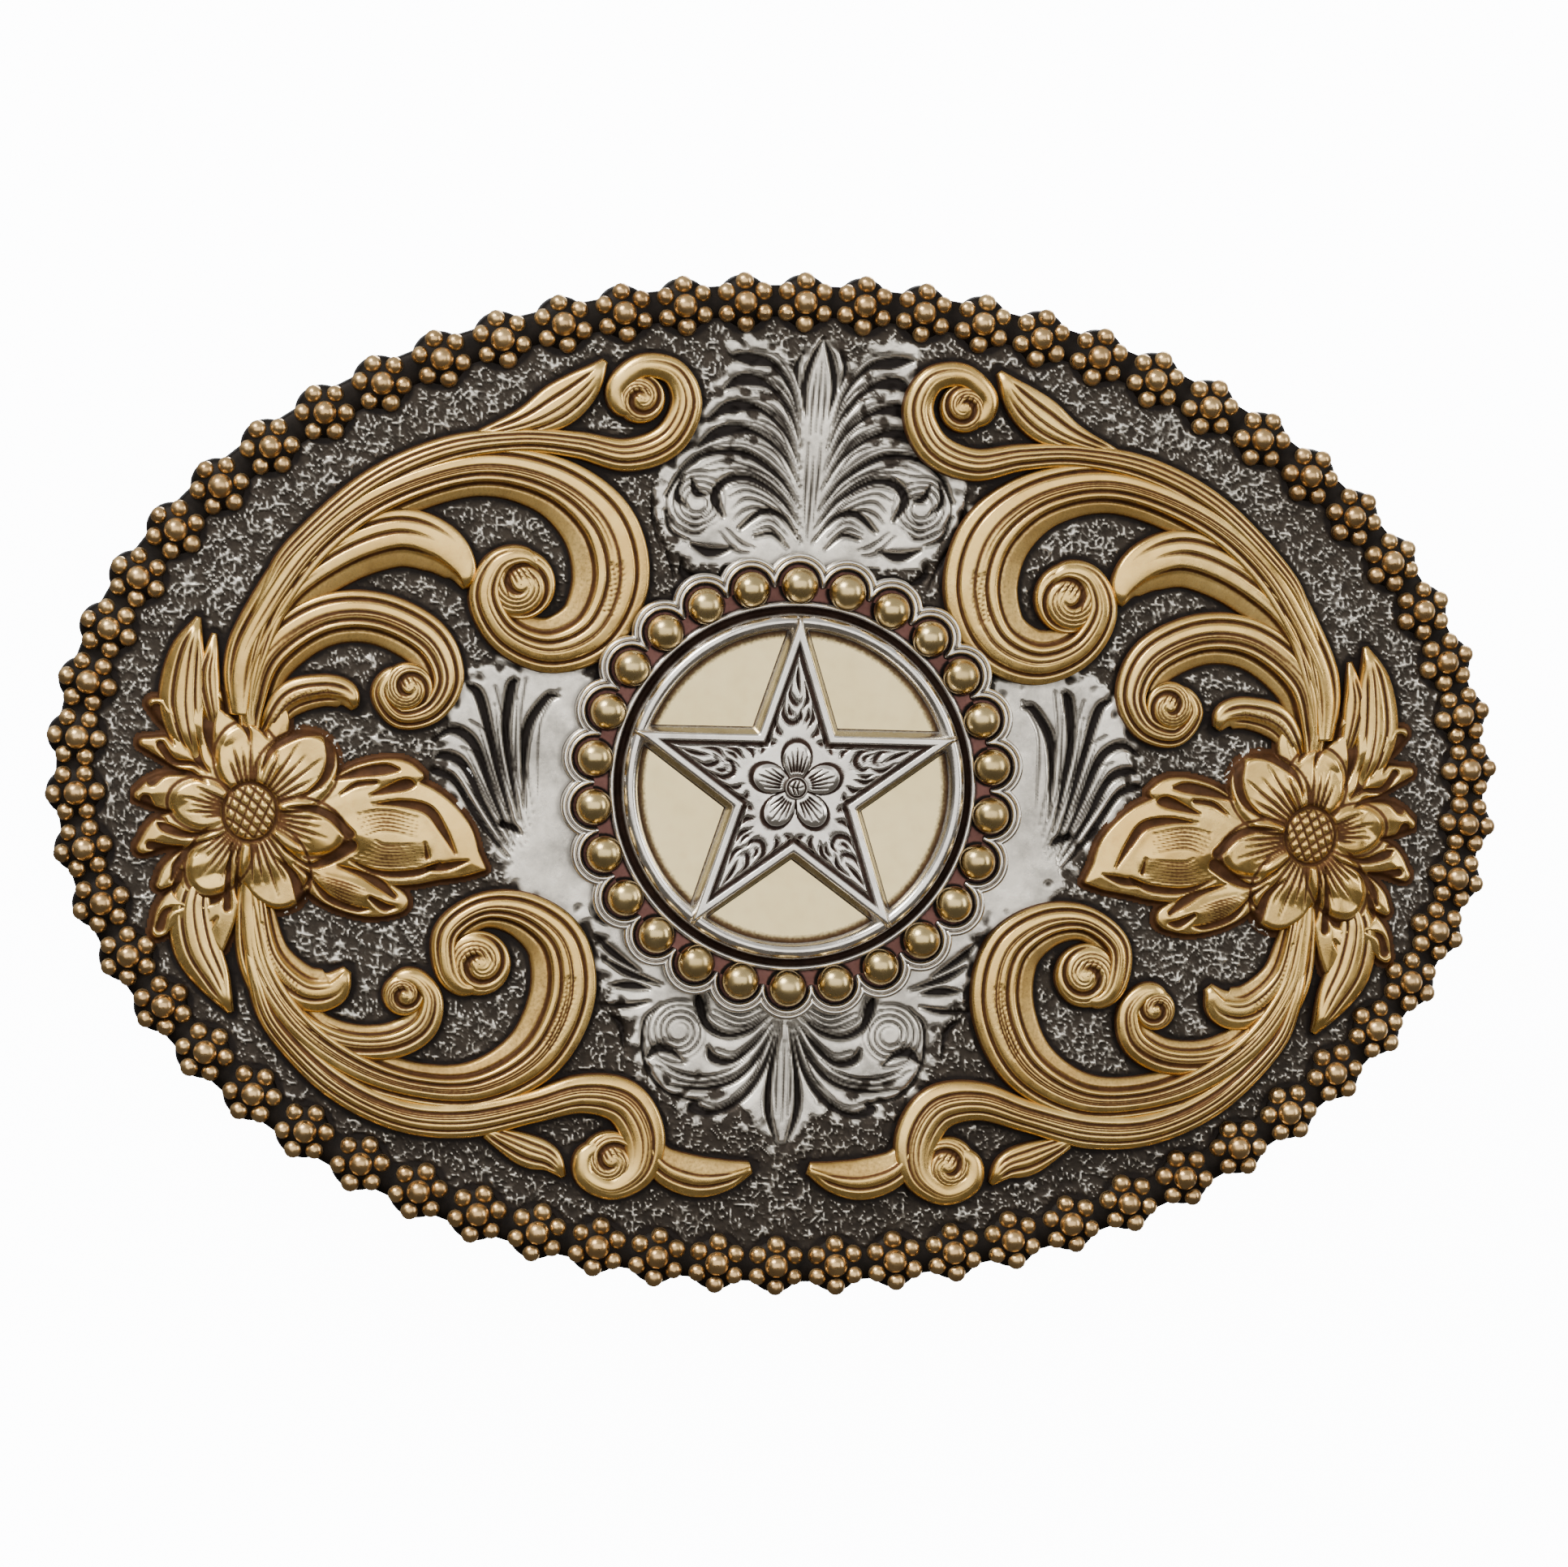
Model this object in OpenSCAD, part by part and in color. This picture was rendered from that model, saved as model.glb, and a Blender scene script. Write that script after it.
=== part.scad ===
// Western dress belt buckle: a bent oval plate with a berry edge, scroll overlays
// and a star concho on the front, and a hinged belt bail and a hook on the back.
// X is the width, Z is up as worn, and the front faces -Y.

/* [Plate] */
// Width of the whole buckle
buckle_w = 101.6; // [90:0.1:110]
// Height of the whole buckle
buckle_h = 70.4; // [64:0.1:76]
// How far the ends of the plate stand back behind its middle
bend_depth = 6; // [4:0.5:8]
// Thickness of the base plate
plate_t = 1.6; // [1.2:0.1:2]
// Thickness of the engraved face sheet
face_t = 0.5; // [0.4:0.1:0.8]

/* [Berry edge] */
// Number of berry clusters round the edge
berry_count = 62; // [56:2:66]
// Width of the edge band
rim_w = 3.6; // [3:0.1:4]
// Height of the edge band above the base plate
rim_t = 1.2; // [1:0.1:1.5]
// Radius of the middle ball of a cluster
berry_r = 0.75; // [0.6:0.05:0.9]

/* [Overlays] */
// Thickness of the scroll overlays
scroll_t = 1; // [0.8:0.1:1.3]
// Thickness of the flower overlays
flower_t = 1.3; // [1:0.1:1.6]

/* [Concho] */
// Number of balls round the concho
pearl_count = 26; // [24:1:28]
// Radius of the circle that the balls stand on
pearl_ring_r = 13.8; // [13.7:0.1:14.2]
// Radius of one ball
pearl_r = 1.22; // [1.1:0.02:1.24]
// Outer radius of the ring round the star
ring_r = 12.1; // [11.8:0.1:12.2]
// Width of the ring round the star
ring_w = 1.5; // [1.3:0.1:1.8]
// Radius of the star's points
star_r = 11.4; // [11:0.1:11.7]

/* [Belt bail] */
// Clear height inside the bail, for the belt
bail_gap = 39; // [38.5:0.5:41]
// Distance from the hinge axis to the middle of the cross-bar
bail_reach = 15.5; // [14:0.5:17]
// Radius of the bail's wire
wire_r = 1.4; // [1.2:0.1:1.6]
// Distance of the hinge axis from the middle of the buckle
hinge_x = 18; // [16:0.5:20]
// Radius of the hinge pin
pin_r = 1.2; // [1:0.1:1.3]

/* [Hook] */
// Distance of the hook from the middle of the buckle
hook_x = 33; // [30:0.5:35]
// Radius of the hook peg
peg_r = 1.9; // [1.6:0.1:2.1]
// Length of the hook peg behind its base
peg_l = 6.5; // [5.5:0.5:8]
// Height of the shoulder at the foot of the hook peg
shoulder_l = 0.8; // [0.6:0.1:1.2]
// Lean of the hook peg towards the middle of the buckle
peg_lean = 15; // [0:1:20]

/* [Hidden] */

half_w = buckle_w / 2;
half_h = buckle_h / 2;
bend_r = (half_w * half_w + bend_depth * bend_depth) / (2 * bend_depth);
bend_fn = 720;
reach = 24;
edge_steps = 124;
edge_stretch = (half_w * half_w - half_h * half_h) / (half_w * half_w + half_h * half_h);

// Heights on the plate are levels: 0 is the front of the base plate, + is forward
edge_inset = 0.4;
berry_inset = 1.7;
concho_plane = face_t + 1;
lobe_r = 2.1;
lip_w = 0.4;
lip_t = 0.5;
pearl_lift = 0.6;
disc_t = 0.4;
star_t = 1.4;
ring_t = 1.3;
petal_t = 0.3;
button_t = 0.4;
rivet_r = 0.75;
button_r = 1.1;
fit_gap = 0.05;
hinge_gap = 0.07;

// Back hardware
base_t = 0.9;
back_level = -plate_t - base_t;
sleeve_r = 2.3;
lug_gap = 0.3;
lug_t = 2;
lug_eye_r = 2.6;
pin_head_r = pin_r + 0.6;
pin_head_t = 0.8;
axis_lift = 3.7;
axis_level = -plate_t - axis_lift;
axis_y = bend_r - sqrt(pow(bend_r + axis_level, 2) - hinge_x * hinge_x);
leg_z = bail_gap / 2 + wire_r;
sleeve_half = leg_z + wire_r + 0.3;
lug_z = sleeve_half + lug_gap;
corner_r = 4;
hook_y = bend_r - sqrt(pow(bend_r + back_level, 2) - hook_x * hook_x);
back_rivet_r = 0.9;
back_head_r = 1.7;
back_head_t = 0.6;
seat_gap = 0.02;
shoulder_r = 2.9;
bracket_w = 11;
bracket_rivets_at = [for (x = [-1, 1], z = [-1, 0, 1]) [-hinge_x + x * 3.9, z * 13]];
hook_base_w = 9;
hook_base_half = 6;
hook_rivets_at = [for (z = [-1, 1]) [hook_x, z * hook_base_half]];

// The origin is the middle of the buckle's bounding box
front_y = -(concho_plane + disc_t + star_t + petal_t + button_t);
back_y = hook_y + peg_l * cos(peg_lean) + peg_r;
mid_y = (front_y + back_y) / 2;

// Scroll strokes: [x, z, width] along the middle of each, left side; the right is mirrored
CREST = [
    [-36, 12.5, 1.2], [-34.2, 15.3, 1.6], [-29.4, 19.7, 1.8], [-24.4, 22.2, 1.8], [-19.4, 23.1, 1.6],
    [-15.4, 22.9, 1.8], [-12, 22.3, 2.2], [-9.2, 23.4, 2.3], [-8, 25.9, 2.1],
    [-8.9, 28, 1.8], [-11.1, 28.4, 1.6], [-12.8, 27, 1.4]
];
GREAT_SCROLL = [
    [-37.4, 7, 3], [-36.2, 10, 3.4], [-32.8, 15.2, 3.6], [-28.3, 18.8, 3.4], [-22.3, 20.9, 3.4],
    [-17.3, 20.2, 4], [-13.9, 17.6, 5], [-12.8, 14, 5.2], [-14, 10.6, 4.6],
    [-16.8, 9.2, 3.8], [-19.6, 10.1, 3.2], [-21, 12.4, 2.9], [-20.5, 14.6, 2.6]
];
INNER_LEAF = [
    [-37, 6, 2.6], [-35, 11.5, 3.4], [-31.5, 14.6, 3.8], [-27.6, 16.2, 4], [-24.8, 15.7, 3.6],
    [-23.1, 14.3, 2.4], [-22.6, 12.9, 0.5]
];
SMALL_SCROLL = [
    [-37.5, 4, 3], [-35.6, 7.8, 3.4], [-32.4, 10.3, 3.5], [-28.8, 10.7, 3.5], [-25.4, 9.2, 3.5],
    [-24.1, 6.8, 3], [-24.9, 4.8, 2.4], [-26.8, 4.2, 2], [-28.1, 5.4, 1.8]
];
SMALL_LEAF = [[-36.4, 2.6, 2.2], [-34.5, 4.8, 2.3], [-32.3, 5.6, 2.2], [-30.6, 5.4, 1.9], [-29.9, 4.5, 0.6]];
TOP_BUD = [[-20.4, 23.8, 0.8], [-17.5, 25, 2.4], [-15.5, 26, 2.8], [-14.3, 27.4, 1.8], [-13.4, 28.7, 0.4]];
LOW_CREST = [
    [-36, -14.5, 1.4], [-34.6, -17.5, 1.6], [-30.8, -21.1, 2], [-26.3, -23.2, 2.2], [-21.8, -23.5, 2.4],
    [-17.3, -22.5, 2.2], [-13.8, -21.5, 2.6], [-10.9, -22, 3.1], [-9.5, -24.2, 3],
    [-9.7, -26.6, 2.3], [-11.5, -27.9, 1.6], [-13.3, -27.2, 1.5]
];
LOW_TAIL = [[-9.4, -24.4, 1.2], [-8, -26.2, 2.4], [-5.9, -27, 2.8], [-3.9, -26.9, 2.2], [-2, -26.3, 0.8]];
LOW_SCROLL = [
    [-36.4, -10, 2.6], [-35.6, -13.5, 3], [-33, -17.2, 3.3], [-29.2, -19.8, 3.1], [-25, -21.1, 2.8],
    [-20.8, -21, 3.2], [-17.1, -18.8, 4], [-15.3, -15, 4.4], [-15.7, -11.4, 4.1],
    [-18, -9.4, 3.2], [-20.8, -9.1, 2.4], [-23, -10.7, 2.3], [-23.2, -13.2, 2.2]
];
LOW_SMALL = [
    [-36.6, -9.5, 2.2], [-35.4, -13.6, 2.4], [-33.4, -16.6, 2.6], [-30.4, -18.2, 2.4], [-27.2, -18.3, 2.4],
    [-25, -17.2, 2.4], [-24.4, -15.3, 2], [-25.3, -13.8, 1.7], [-26.9, -13.6, 1.5]
];
LOW_LEAF = [[-36.2, -9, 1.6], [-35.1, -12.6, 2.5], [-33, -14.7, 3], [-31, -14.7, 2.6], [-29.9, -13.4, 0.6]];
LOW_BUD = [[-20.2, -24.2, 1], [-17.6, -25.4, 2.2], [-15.9, -26, 1.8], [-14.8, -27.2, 0.4]];
OUTER_LEAF = [[-41.4, 1, 3], [-41.6, 5, 3.1], [-41.3, 8, 2.3], [-40.6, 10.4, 0.3]];
OUTER_LOW_LEAF = [[-41, -7, 3], [-40.2, -12, 3.2], [-39, -14.3, 2.4], [-37.7, -16.6, 0.4]];

// Round eyes of the volutes: [x, z, radius]
UPPER_EYES = [[-11.2, 26.2, 1.7], [-19, 13.3, 2.4], [-26.4, 6, 1.7]];
LOWER_EYES = [[-11.7, -26, 2], [-21.1, -12.7, 2.2], [-26.1, -15, 1.4]];

// Flower: middle, petals and the bud that points at the concho
flower_at = [-37.1, -2.8];
// Petals: [angle, reach, width]
PETALS = [[95, 6.2, 3.8], [43, 7.6, 4.6], [-12, 7, 4.2], [-66, 7.6, 4.6], [-120, 6.8, 4.2], [172, 6.6, 4.2]];
petal_root = 1;
disc_r = 4;
sepal_reach = 6.9;
sepal_w = 1.6;
sepal_angles = [126, 150, 174, 198, 222];
MAIN_BUD = [[-31.9, -3, 3], [-29, -2.9, 7.2], [-25.4, -3.6, 7.2], [-22.7, -5.2, 3.8], [-20.8, -6.4, 0.4]];
LOW_PETAL = [[-33.4, -6, 2], [-30.4, -7.9, 3.2], [-28, -8.6, 2.6], [-26.2, -9.1, 0.8]];
centre_r = 1.8;
centre_t = 0.4;

curve_steps = 5;

function spline_at(a, b, c, d, t) =
    0.5 * (2 * b + (c - a) * t + (2 * a - 5 * b + 4 * c - d) * t * t + (3 * b - a - 3 * c + d) * t * t * t);

function spline(p) = concat(
    [for (i = [0 : len(p) - 2], k = [0 : curve_steps - 1])
        spline_at(p[max(i - 1, 0)], p[i], p[i + 1], p[min(i + 2, len(p) - 1)], k / curve_steps)],
    [p[len(p) - 1]]
);

function heading(s, i) =
    let (a = s[max(i - 1, 0)], b = s[min(i + 1, len(s) - 1)])
    [b.x - a.x, b.y - a.y] / norm([b.x - a.x, b.y - a.y]);

function edge_point(s, i, side) =
    let (h = heading(s, i))
    [s[i].x - side * h.y * s[i].z / 2, s[i].y + side * h.x * s[i].z / 2];

// Angle from the top that spaces things evenly along the oval edge
function edge_angle(t) = 360 * t - 45 / PI * edge_stretch * sin(720 * t);

function ellipse_points(a, b, n) = [for (i = [0 : n - 1]) [a * cos(360 * i / n), b * sin(360 * i / n)]];

// A ribbon of changing width along a smooth curve
module stroke(p) {
    s = spline(p);
    last = len(s) - 1;
    polygon(concat(
        [for (i = [0 : last]) edge_point(s, i, 1)],
        [for (i = [last : -1 : 0]) edge_point(s, i, -1)]
    ));
}

module strokes(list) {
    for (p = list) {
        stroke(p);
    }
}

module eyes(list) {
    for (e = list) {
        translate([e.x, e.y]) circle(r = e.z, $fn = 24);
    }
}

module oval(inset) {
    polygon(ellipse_points(half_w - inset, half_h - inset, edge_steps));
}

// Puts the model so that the origin is the middle of its bounding box
module placed() {
    translate([0, -mid_y, 0]) children();
}

// A solid cylinder whose wall is the bent surface at one level
module bent_core(level) {
    translate([0, bend_r, 0]) cylinder(r = bend_r + level, h = 2 * buckle_h, center = true, $fn = bend_fn);
}

module upright(depth) {
    rotate([90, 0, 0]) linear_extrude(height = depth, center = true) children();
}

// A bent sheet between two levels, cut to a flat outline
module bent_sheet(low, high) {
    intersection() {
        difference() {
            bent_core(high);
            bent_core(low);
        }
        upright(2 * reach) children();
    }
}

// A point on the bent plate at x, z, turned so that its local -Y looks straight out
module on_plate(x, z, level) {
    tilt = asin(x / bend_r);
    translate([0, bend_r, 0]) rotate([0, 0, tilt]) translate([0, -bend_r - level, z]) children();
}

module flower_outline() {
    translate(flower_at) {
        for (p = PETALS) {
            rotate(p.x) translate([(p.y + petal_root) / 2, 0])
                polygon(ellipse_points((p.y - petal_root) / 2, p.z / 2, 20));
        }
        for (a = sepal_angles) {
            rotate(a) polygon([[0, -sepal_w], [sepal_reach - 2, -sepal_w], [sepal_reach, 0],
                [sepal_reach - 2, sepal_w], [0, sepal_w]]);
        }
        circle(r = disc_r, $fn = 32);
    }
    strokes([MAIN_BUD, LOW_PETAL]);
}

module upper_outline() {
    difference() {
        union() {
            strokes([CREST, GREAT_SCROLL, INNER_LEAF, SMALL_SCROLL, SMALL_LEAF, TOP_BUD, OUTER_LEAF]);
            eyes(UPPER_EYES);
        }
        flower_outline();
        scalloped_disc(lobe_r);
    }
}

module lower_outline() {
    difference() {
        union() {
            strokes([LOW_CREST, LOW_TAIL, LOW_SCROLL, LOW_SMALL, LOW_LEAF, LOW_BUD, OUTER_LOW_LEAF]);
            eyes(LOWER_EYES);
        }
        flower_outline();
    }
}

module overlay(thick) {
    placed() bent_sheet(face_t, face_t + thick) children();
}

// A disc with one lobe round each ball
module scalloped_disc(lobe) {
    circle(r = pearl_ring_r + 0.5, $fn = 90);
    for (i = [0 : pearl_count - 1]) {
        rotate(90 + i * 360 / pearl_count) translate([pearl_ring_r, 0]) circle(r = lobe, $fn = 32);
    }
}

module star_outline() {
    inner = star_r * sin(18) / sin(54);
    polygon([for (i = [0 : 9]) (i % 2 == 0 ? star_r : inner) * [cos(90 + 36 * i), sin(90 + 36 * i)]]);
}

// A part of the concho: flat, between two distances in front of the concho's own plane
module concho_layer(low, high) {
    placed() translate([0, -concho_plane - low, 0]) rotate([90, 0, 0])
        linear_extrude(height = high - low) children();
}

module star_hole() {
    circle(r = rivet_r + fit_gap, $fn = 32);
}

// Each front or back node

module base_plate() {
    color("gainsboro") placed() difference() {
        bent_sheet(-plate_t, 0) difference() {
            oval(edge_inset);
            star_hole();
        }
        rivet_holes();
    }
}

module face_sheet() {
    color("silver") placed() bent_sheet(0, face_t) difference() {
        oval(rim_w);
        star_hole();
    }
}

module berry_rim() {
    color("saddlebrown") placed() bent_sheet(0, rim_t) difference() {
        oval(edge_inset);
        oval(rim_w);
    }
}

module rim_berries() {
    color("darkgoldenrod") placed() for (i = [0 : berry_count - 1]) {
        a = edge_angle(i / berry_count);
        on_plate((half_w - berry_inset) * sin(a), (half_h - berry_inset) * cos(a), rim_t)
            sphere(r = berry_r, $fn = 24);
    }
}

module scroll_upper_left() {
    color("gold") overlay(scroll_t) upper_outline();
}

module scroll_upper_right() {
    color("gold") overlay(scroll_t) mirror([1, 0]) upper_outline();
}

module scroll_lower_left() {
    color("gold") overlay(scroll_t) lower_outline();
}

module scroll_lower_right() {
    color("gold") overlay(scroll_t) mirror([1, 0]) lower_outline();
}

module flower_left() {
    color("goldenrod") overlay(flower_t) flower_outline();
}

module flower_right() {
    color("goldenrod") overlay(flower_t) mirror([1, 0]) flower_outline();
}

module flower_centres() {
    color("peru") placed() for (side = [-1, 1]) {
        on_plate(side * -flower_at.x, flower_at.y, face_t + flower_t)
            rotate([90, 0, 0]) cylinder(r = centre_r, h = centre_t, $fn = 32);
    }
}

module concho_base() {
    color("rosybrown") difference() {
        concho_layer(-2 * concho_plane, 0) difference() {
            scalloped_disc(lobe_r);
            star_hole();
        }
        placed() bent_core(face_t);
    }
}

module scalloped_wire() {
    color("silver") concho_layer(0, lip_t) difference() {
        scalloped_disc(lobe_r);
        scalloped_disc(lobe_r - lip_w);
    }
}

module pearl_beads() {
    color("goldenrod") placed() for (i = [0 : pearl_count - 1]) {
        translate([0, -concho_plane - pearl_lift, 0]) rotate([0, i * 360 / pearl_count, 0])
            translate([0, 0, pearl_ring_r]) sphere(r = pearl_r, $fn = 48);
    }
}

module ring_wire() {
    color("dimgray") concho_layer(0, lip_t) difference() {
        circle(r = ring_r + lip_w / 2, $fn = 120);
        circle(r = ring_r, $fn = 120);
    }
}

module ring_outline() {
    difference() {
        circle(r = ring_r, $fn = 120);
        circle(r = ring_r - ring_w, $fn = 120);
    }
}

// The star's points lie in notches in the ring
module star_ring() {
    color("silver") {
        concho_layer(0, disc_t) ring_outline();
        concho_layer(disc_t, ring_t) difference() {
            ring_outline();
            star_outline();
        }
    }
}

module mirror_disc() {
    color("wheat") concho_layer(0, disc_t) difference() {
        circle(r = ring_r - ring_w, $fn = 120);
        star_hole();
    }
}

module star() {
    color("lightgray") concho_layer(disc_t, disc_t + star_t) difference() {
        star_outline();
        star_hole();
    }
}

module star_flower() {
    color("silver") concho_layer(disc_t + star_t, disc_t + star_t + petal_t) difference() {
        union() {
            for (i = [0 : 4]) {
                rotate(90 + 72 * i) translate([2, 0]) polygon(ellipse_points(1.5, 0.95, 20));
            }
            circle(r = 1.4, $fn = 32);
        }
        star_hole();
    }
}

// Runs from the button in the star's flower to the back of the base plate
module concho_rivet() {
    stack = concho_plane + disc_t + star_t + petal_t;
    color("silver") placed() {
        translate([0, -stack - button_t, 0]) rotate([-90, 0, 0])
            cylinder(r = button_r, h = button_t, $fn = 32);
        translate([0, -stack, 0]) rotate([-90, 0, 0])
            cylinder(r = rivet_r, h = stack + plate_t + seat_gap, $fn = 32);
        translate([0, plate_t + seat_gap, 0]) rotate([-90, 0, 0])
            cylinder(r = back_head_r, h = back_head_t, $fn = 32);
    }
}

// Cuts one rivet's hole through whatever it crosses, square to the plate
module rivet_hole(at) {
    on_plate(at.x, at.y, -plate_t - 2 * base_t)
        rotate([90, 0, 0]) cylinder(r = back_rivet_r + fit_gap, h = plate_t + 4 * base_t, $fn = 32);
}

module rivet_holes() {
    for (at = concat(bracket_rivets_at, hook_rivets_at)) {
        rivet_hole(at);
    }
}

// A flush-ended rivet with a low round head on the back
module back_rivet(at) {
    on_plate(at.x, at.y, back_level - seat_gap) {
        rotate([90, 0, 0]) cylinder(r = back_rivet_r, h = base_t + plate_t, $fn = 32);
        rotate([-90, 0, 0]) cylinder(r = back_head_r, h = back_head_t, $fn = 32);
    }
}

module lug_side(z) {
    translate([0, 0, z]) linear_extrude(height = lug_t) difference() {
        union() {
            translate([-hinge_x, axis_y]) circle(r = lug_eye_r, $fn = 48);
            translate([-hinge_x - lug_eye_r, axis_y - axis_lift - 1]) square([2 * lug_eye_r, axis_lift + 1]);
        }
        translate([-hinge_x, axis_y]) circle(r = pin_r, $fn = 48);
    }
}

module hinge_bracket() {
    color("lightgray") placed() {
        difference() {
            bent_sheet(back_level, -plate_t) translate([-hinge_x, 0])
                square([bracket_w, 2 * (lug_z + lug_t)], center = true);
            for (at = bracket_rivets_at) {
                rivet_hole(at);
            }
        }
        intersection() {
            bent_core(back_level);
            union() {
                lug_side(lug_z);
                lug_side(-lug_z - lug_t);
            }
        }
    }
}

module bracket_rivets() {
    color("darkgray") placed() for (at = bracket_rivets_at) {
        back_rivet(at);
    }
}

module hinge_pin() {
    pin_half = lug_z + lug_t + seat_gap;
    color("gray") placed() translate([-hinge_x, axis_y, 0]) {
        cylinder(r = pin_r, h = 2 * pin_half, center = true, $fn = 48);
        for (side = [-1, 1]) {
            translate([0, 0, side * (pin_half + pin_head_t / 2)])
                cylinder(r = pin_head_r, h = pin_head_t, center = true, $fn = 48);
        }
    }
}

module bail_sleeve() {
    color("silver") placed() translate([-hinge_x, axis_y, 0]) difference() {
        cylinder(r = sleeve_r, h = 2 * sleeve_half, center = true, $fn = 48);
        cylinder(r = pin_r + hinge_gap, h = 2 * sleeve_half + 1, center = true, $fn = 48);
    }
}

// Half of the wire loop: a leg, a round corner and half of the cross-bar
module half_loop() {
    translate([0, 0, leg_z]) rotate([0, -90, 0]) cylinder(r = wire_r, h = bail_reach - corner_r, $fn = 32);
    translate([-bail_reach + corner_r, 0, leg_z - corner_r]) rotate([90, 0, 0]) rotate([0, 0, 90])
        rotate_extrude(angle = 90, $fn = 96) translate([corner_r, 0]) circle(r = wire_r, $fn = 32);
    translate([-bail_reach, 0, 0]) cylinder(r = wire_r, h = leg_z - corner_r, $fn = 32);
}

module bail_loop() {
    color("silver") placed() translate([-hinge_x, axis_y, 0]) difference() {
        union() {
            half_loop();
            mirror([0, 0, 1]) half_loop();
        }
        cylinder(r = sleeve_r, h = 4 * sleeve_half, center = true, $fn = 48);
    }
}

module hook_base() {
    color("lightgray") placed() difference() {
        bent_sheet(back_level, -plate_t) translate([hook_x, 0]) {
            square([hook_base_w, 2 * hook_base_half], center = true);
            for (side = [-1, 1]) {
                translate([0, side * hook_base_half]) circle(r = hook_base_w / 2, $fn = 48);
            }
        }
        for (at = hook_rivets_at) {
            rivet_hole(at);
        }
    }
}

module hook_rivets() {
    color("darkgray") placed() for (at = hook_rivets_at) {
        back_rivet(at);
    }
}

// A round peg with a domed tip and a shoulder at its foot, leaning towards the middle of the buckle
module hook_peg() {
    color("lightgray") placed() intersection() {
        bent_core(back_level);
        translate([hook_x, hook_y, 0]) rotate([0, 0, peg_lean]) rotate([-90, 0, 0]) {
            translate([0, 0, -2]) cylinder(r = shoulder_r, h = shoulder_l + 2, $fn = 48);
            cylinder(r = peg_r, h = peg_l, $fn = 48);
            translate([0, 0, peg_l]) sphere(r = peg_r, $fn = 48);
        }
    }
}

base_plate();
face_sheet();
berry_rim();
rim_berries();
scroll_upper_left();
scroll_upper_right();
scroll_lower_left();
scroll_lower_right();
flower_left();
flower_right();
flower_centres();
concho_base();
scalloped_wire();
pearl_beads();
ring_wire();
star_ring();
mirror_disc();
star();
star_flower();
concho_rivet();
hinge_bracket();
bracket_rivets();
hinge_pin();
bail_sleeve();
bail_loop();
hook_base();
hook_rivets();
hook_peg();
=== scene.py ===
"""Looks of the western dress buckle: the struck relief on its front and the hardware on its back."""
import bpy
import math
import numpy as np
from mathutils import Matrix, Vector


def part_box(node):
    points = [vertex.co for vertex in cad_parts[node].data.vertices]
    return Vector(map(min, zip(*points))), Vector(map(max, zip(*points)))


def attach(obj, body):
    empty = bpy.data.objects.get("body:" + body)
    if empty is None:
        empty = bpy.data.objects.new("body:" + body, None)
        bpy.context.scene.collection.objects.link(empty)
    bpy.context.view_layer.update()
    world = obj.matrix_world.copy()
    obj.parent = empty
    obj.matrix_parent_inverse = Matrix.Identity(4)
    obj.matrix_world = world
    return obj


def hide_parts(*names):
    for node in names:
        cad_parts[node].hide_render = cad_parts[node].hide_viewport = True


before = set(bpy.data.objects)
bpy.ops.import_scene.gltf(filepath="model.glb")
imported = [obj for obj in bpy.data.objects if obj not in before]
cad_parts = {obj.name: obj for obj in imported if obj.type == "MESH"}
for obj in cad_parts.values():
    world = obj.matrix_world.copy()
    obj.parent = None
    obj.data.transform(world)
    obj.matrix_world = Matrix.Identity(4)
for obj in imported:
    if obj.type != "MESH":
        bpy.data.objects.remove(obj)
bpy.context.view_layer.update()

# ---------------------------------------------------------------- sizes, in millimetres
MM = 0.001
PLATE_LOW, PLATE_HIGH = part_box("base_plate")
EDGE_INSET = 0.4                      # the plate's edge lies this far inside the oval of the beads
HALF_W = (PLATE_HIGH.x - PLATE_LOW.x) / 2 / MM + EDGE_INSET
HALF_H = (PLATE_HIGH.z - PLATE_LOW.z) / 2 / MM + EDGE_INSET
FRONT_Y = PLATE_LOW.y / MM            # front of the base plate at its middle, which is level 0
BEND_DEPTH = 6.0
BEND_R = (HALF_W ** 2 + BEND_DEPTH ** 2) / (2 * BEND_DEPTH)
PLATE_T = 1.6
FACE_T = 0.5
GOLD_FOOT = 0.45                      # level of the foot of every gold overlay
SOFT_EDGE = 0.22                      # rounding of the gold's top edges

BERRY_COUNT = 62                      # bead clusters along the edge
CLUSTER_PITCH = 4.38
CLUSTER_INSET = 2.11
CLUSTER_R = 1.84
PETAL_BALL_R = 0.64
PETAL_BALL_AT = 1.44

PEARL_COUNT = 26                      # brass balls round the concho
PEARL_RING_R = 13.8
PEARL_R = 1.22
LOBE_R = 2.1
RING_R = 12.1
RING_W = 1.5
STAR_R = 11.4
STAR_APOTHEM = STAR_R * math.sin(math.radians(18))
CONCHO_PLANE = FACE_T + 1.0

OUTSIDE = -9.0                        # depth given to points far outside a stroke
FRONT = (0, -1, 0)
BACK = (0, 1, 0)

rng = np.random.default_rng(7)


# ---------------------------------------------------------------- small maths helpers
def smooth(low, high, v):
    """0 at low, 1 at high and a smooth step between; low may be the greater."""
    t = np.clip((v - low) / (high - low), 0, 1)
    return t * t * (3 - 2 * t)


def bell(v, half):
    """1 at 0, falling away smoothly over about half either side."""
    return np.exp(-(v / half) ** 2)


def rounded(depth, edge):
    """How far a rounded edge has dropped at a depth inside it."""
    return edge - np.sqrt(np.maximum(edge ** 2 - (edge - np.minimum(depth, edge)) ** 2, 0))


def circle(count):
    """Even angles all the way round."""
    return np.linspace(0, 2 * math.pi, count, endpoint=False)


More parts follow.
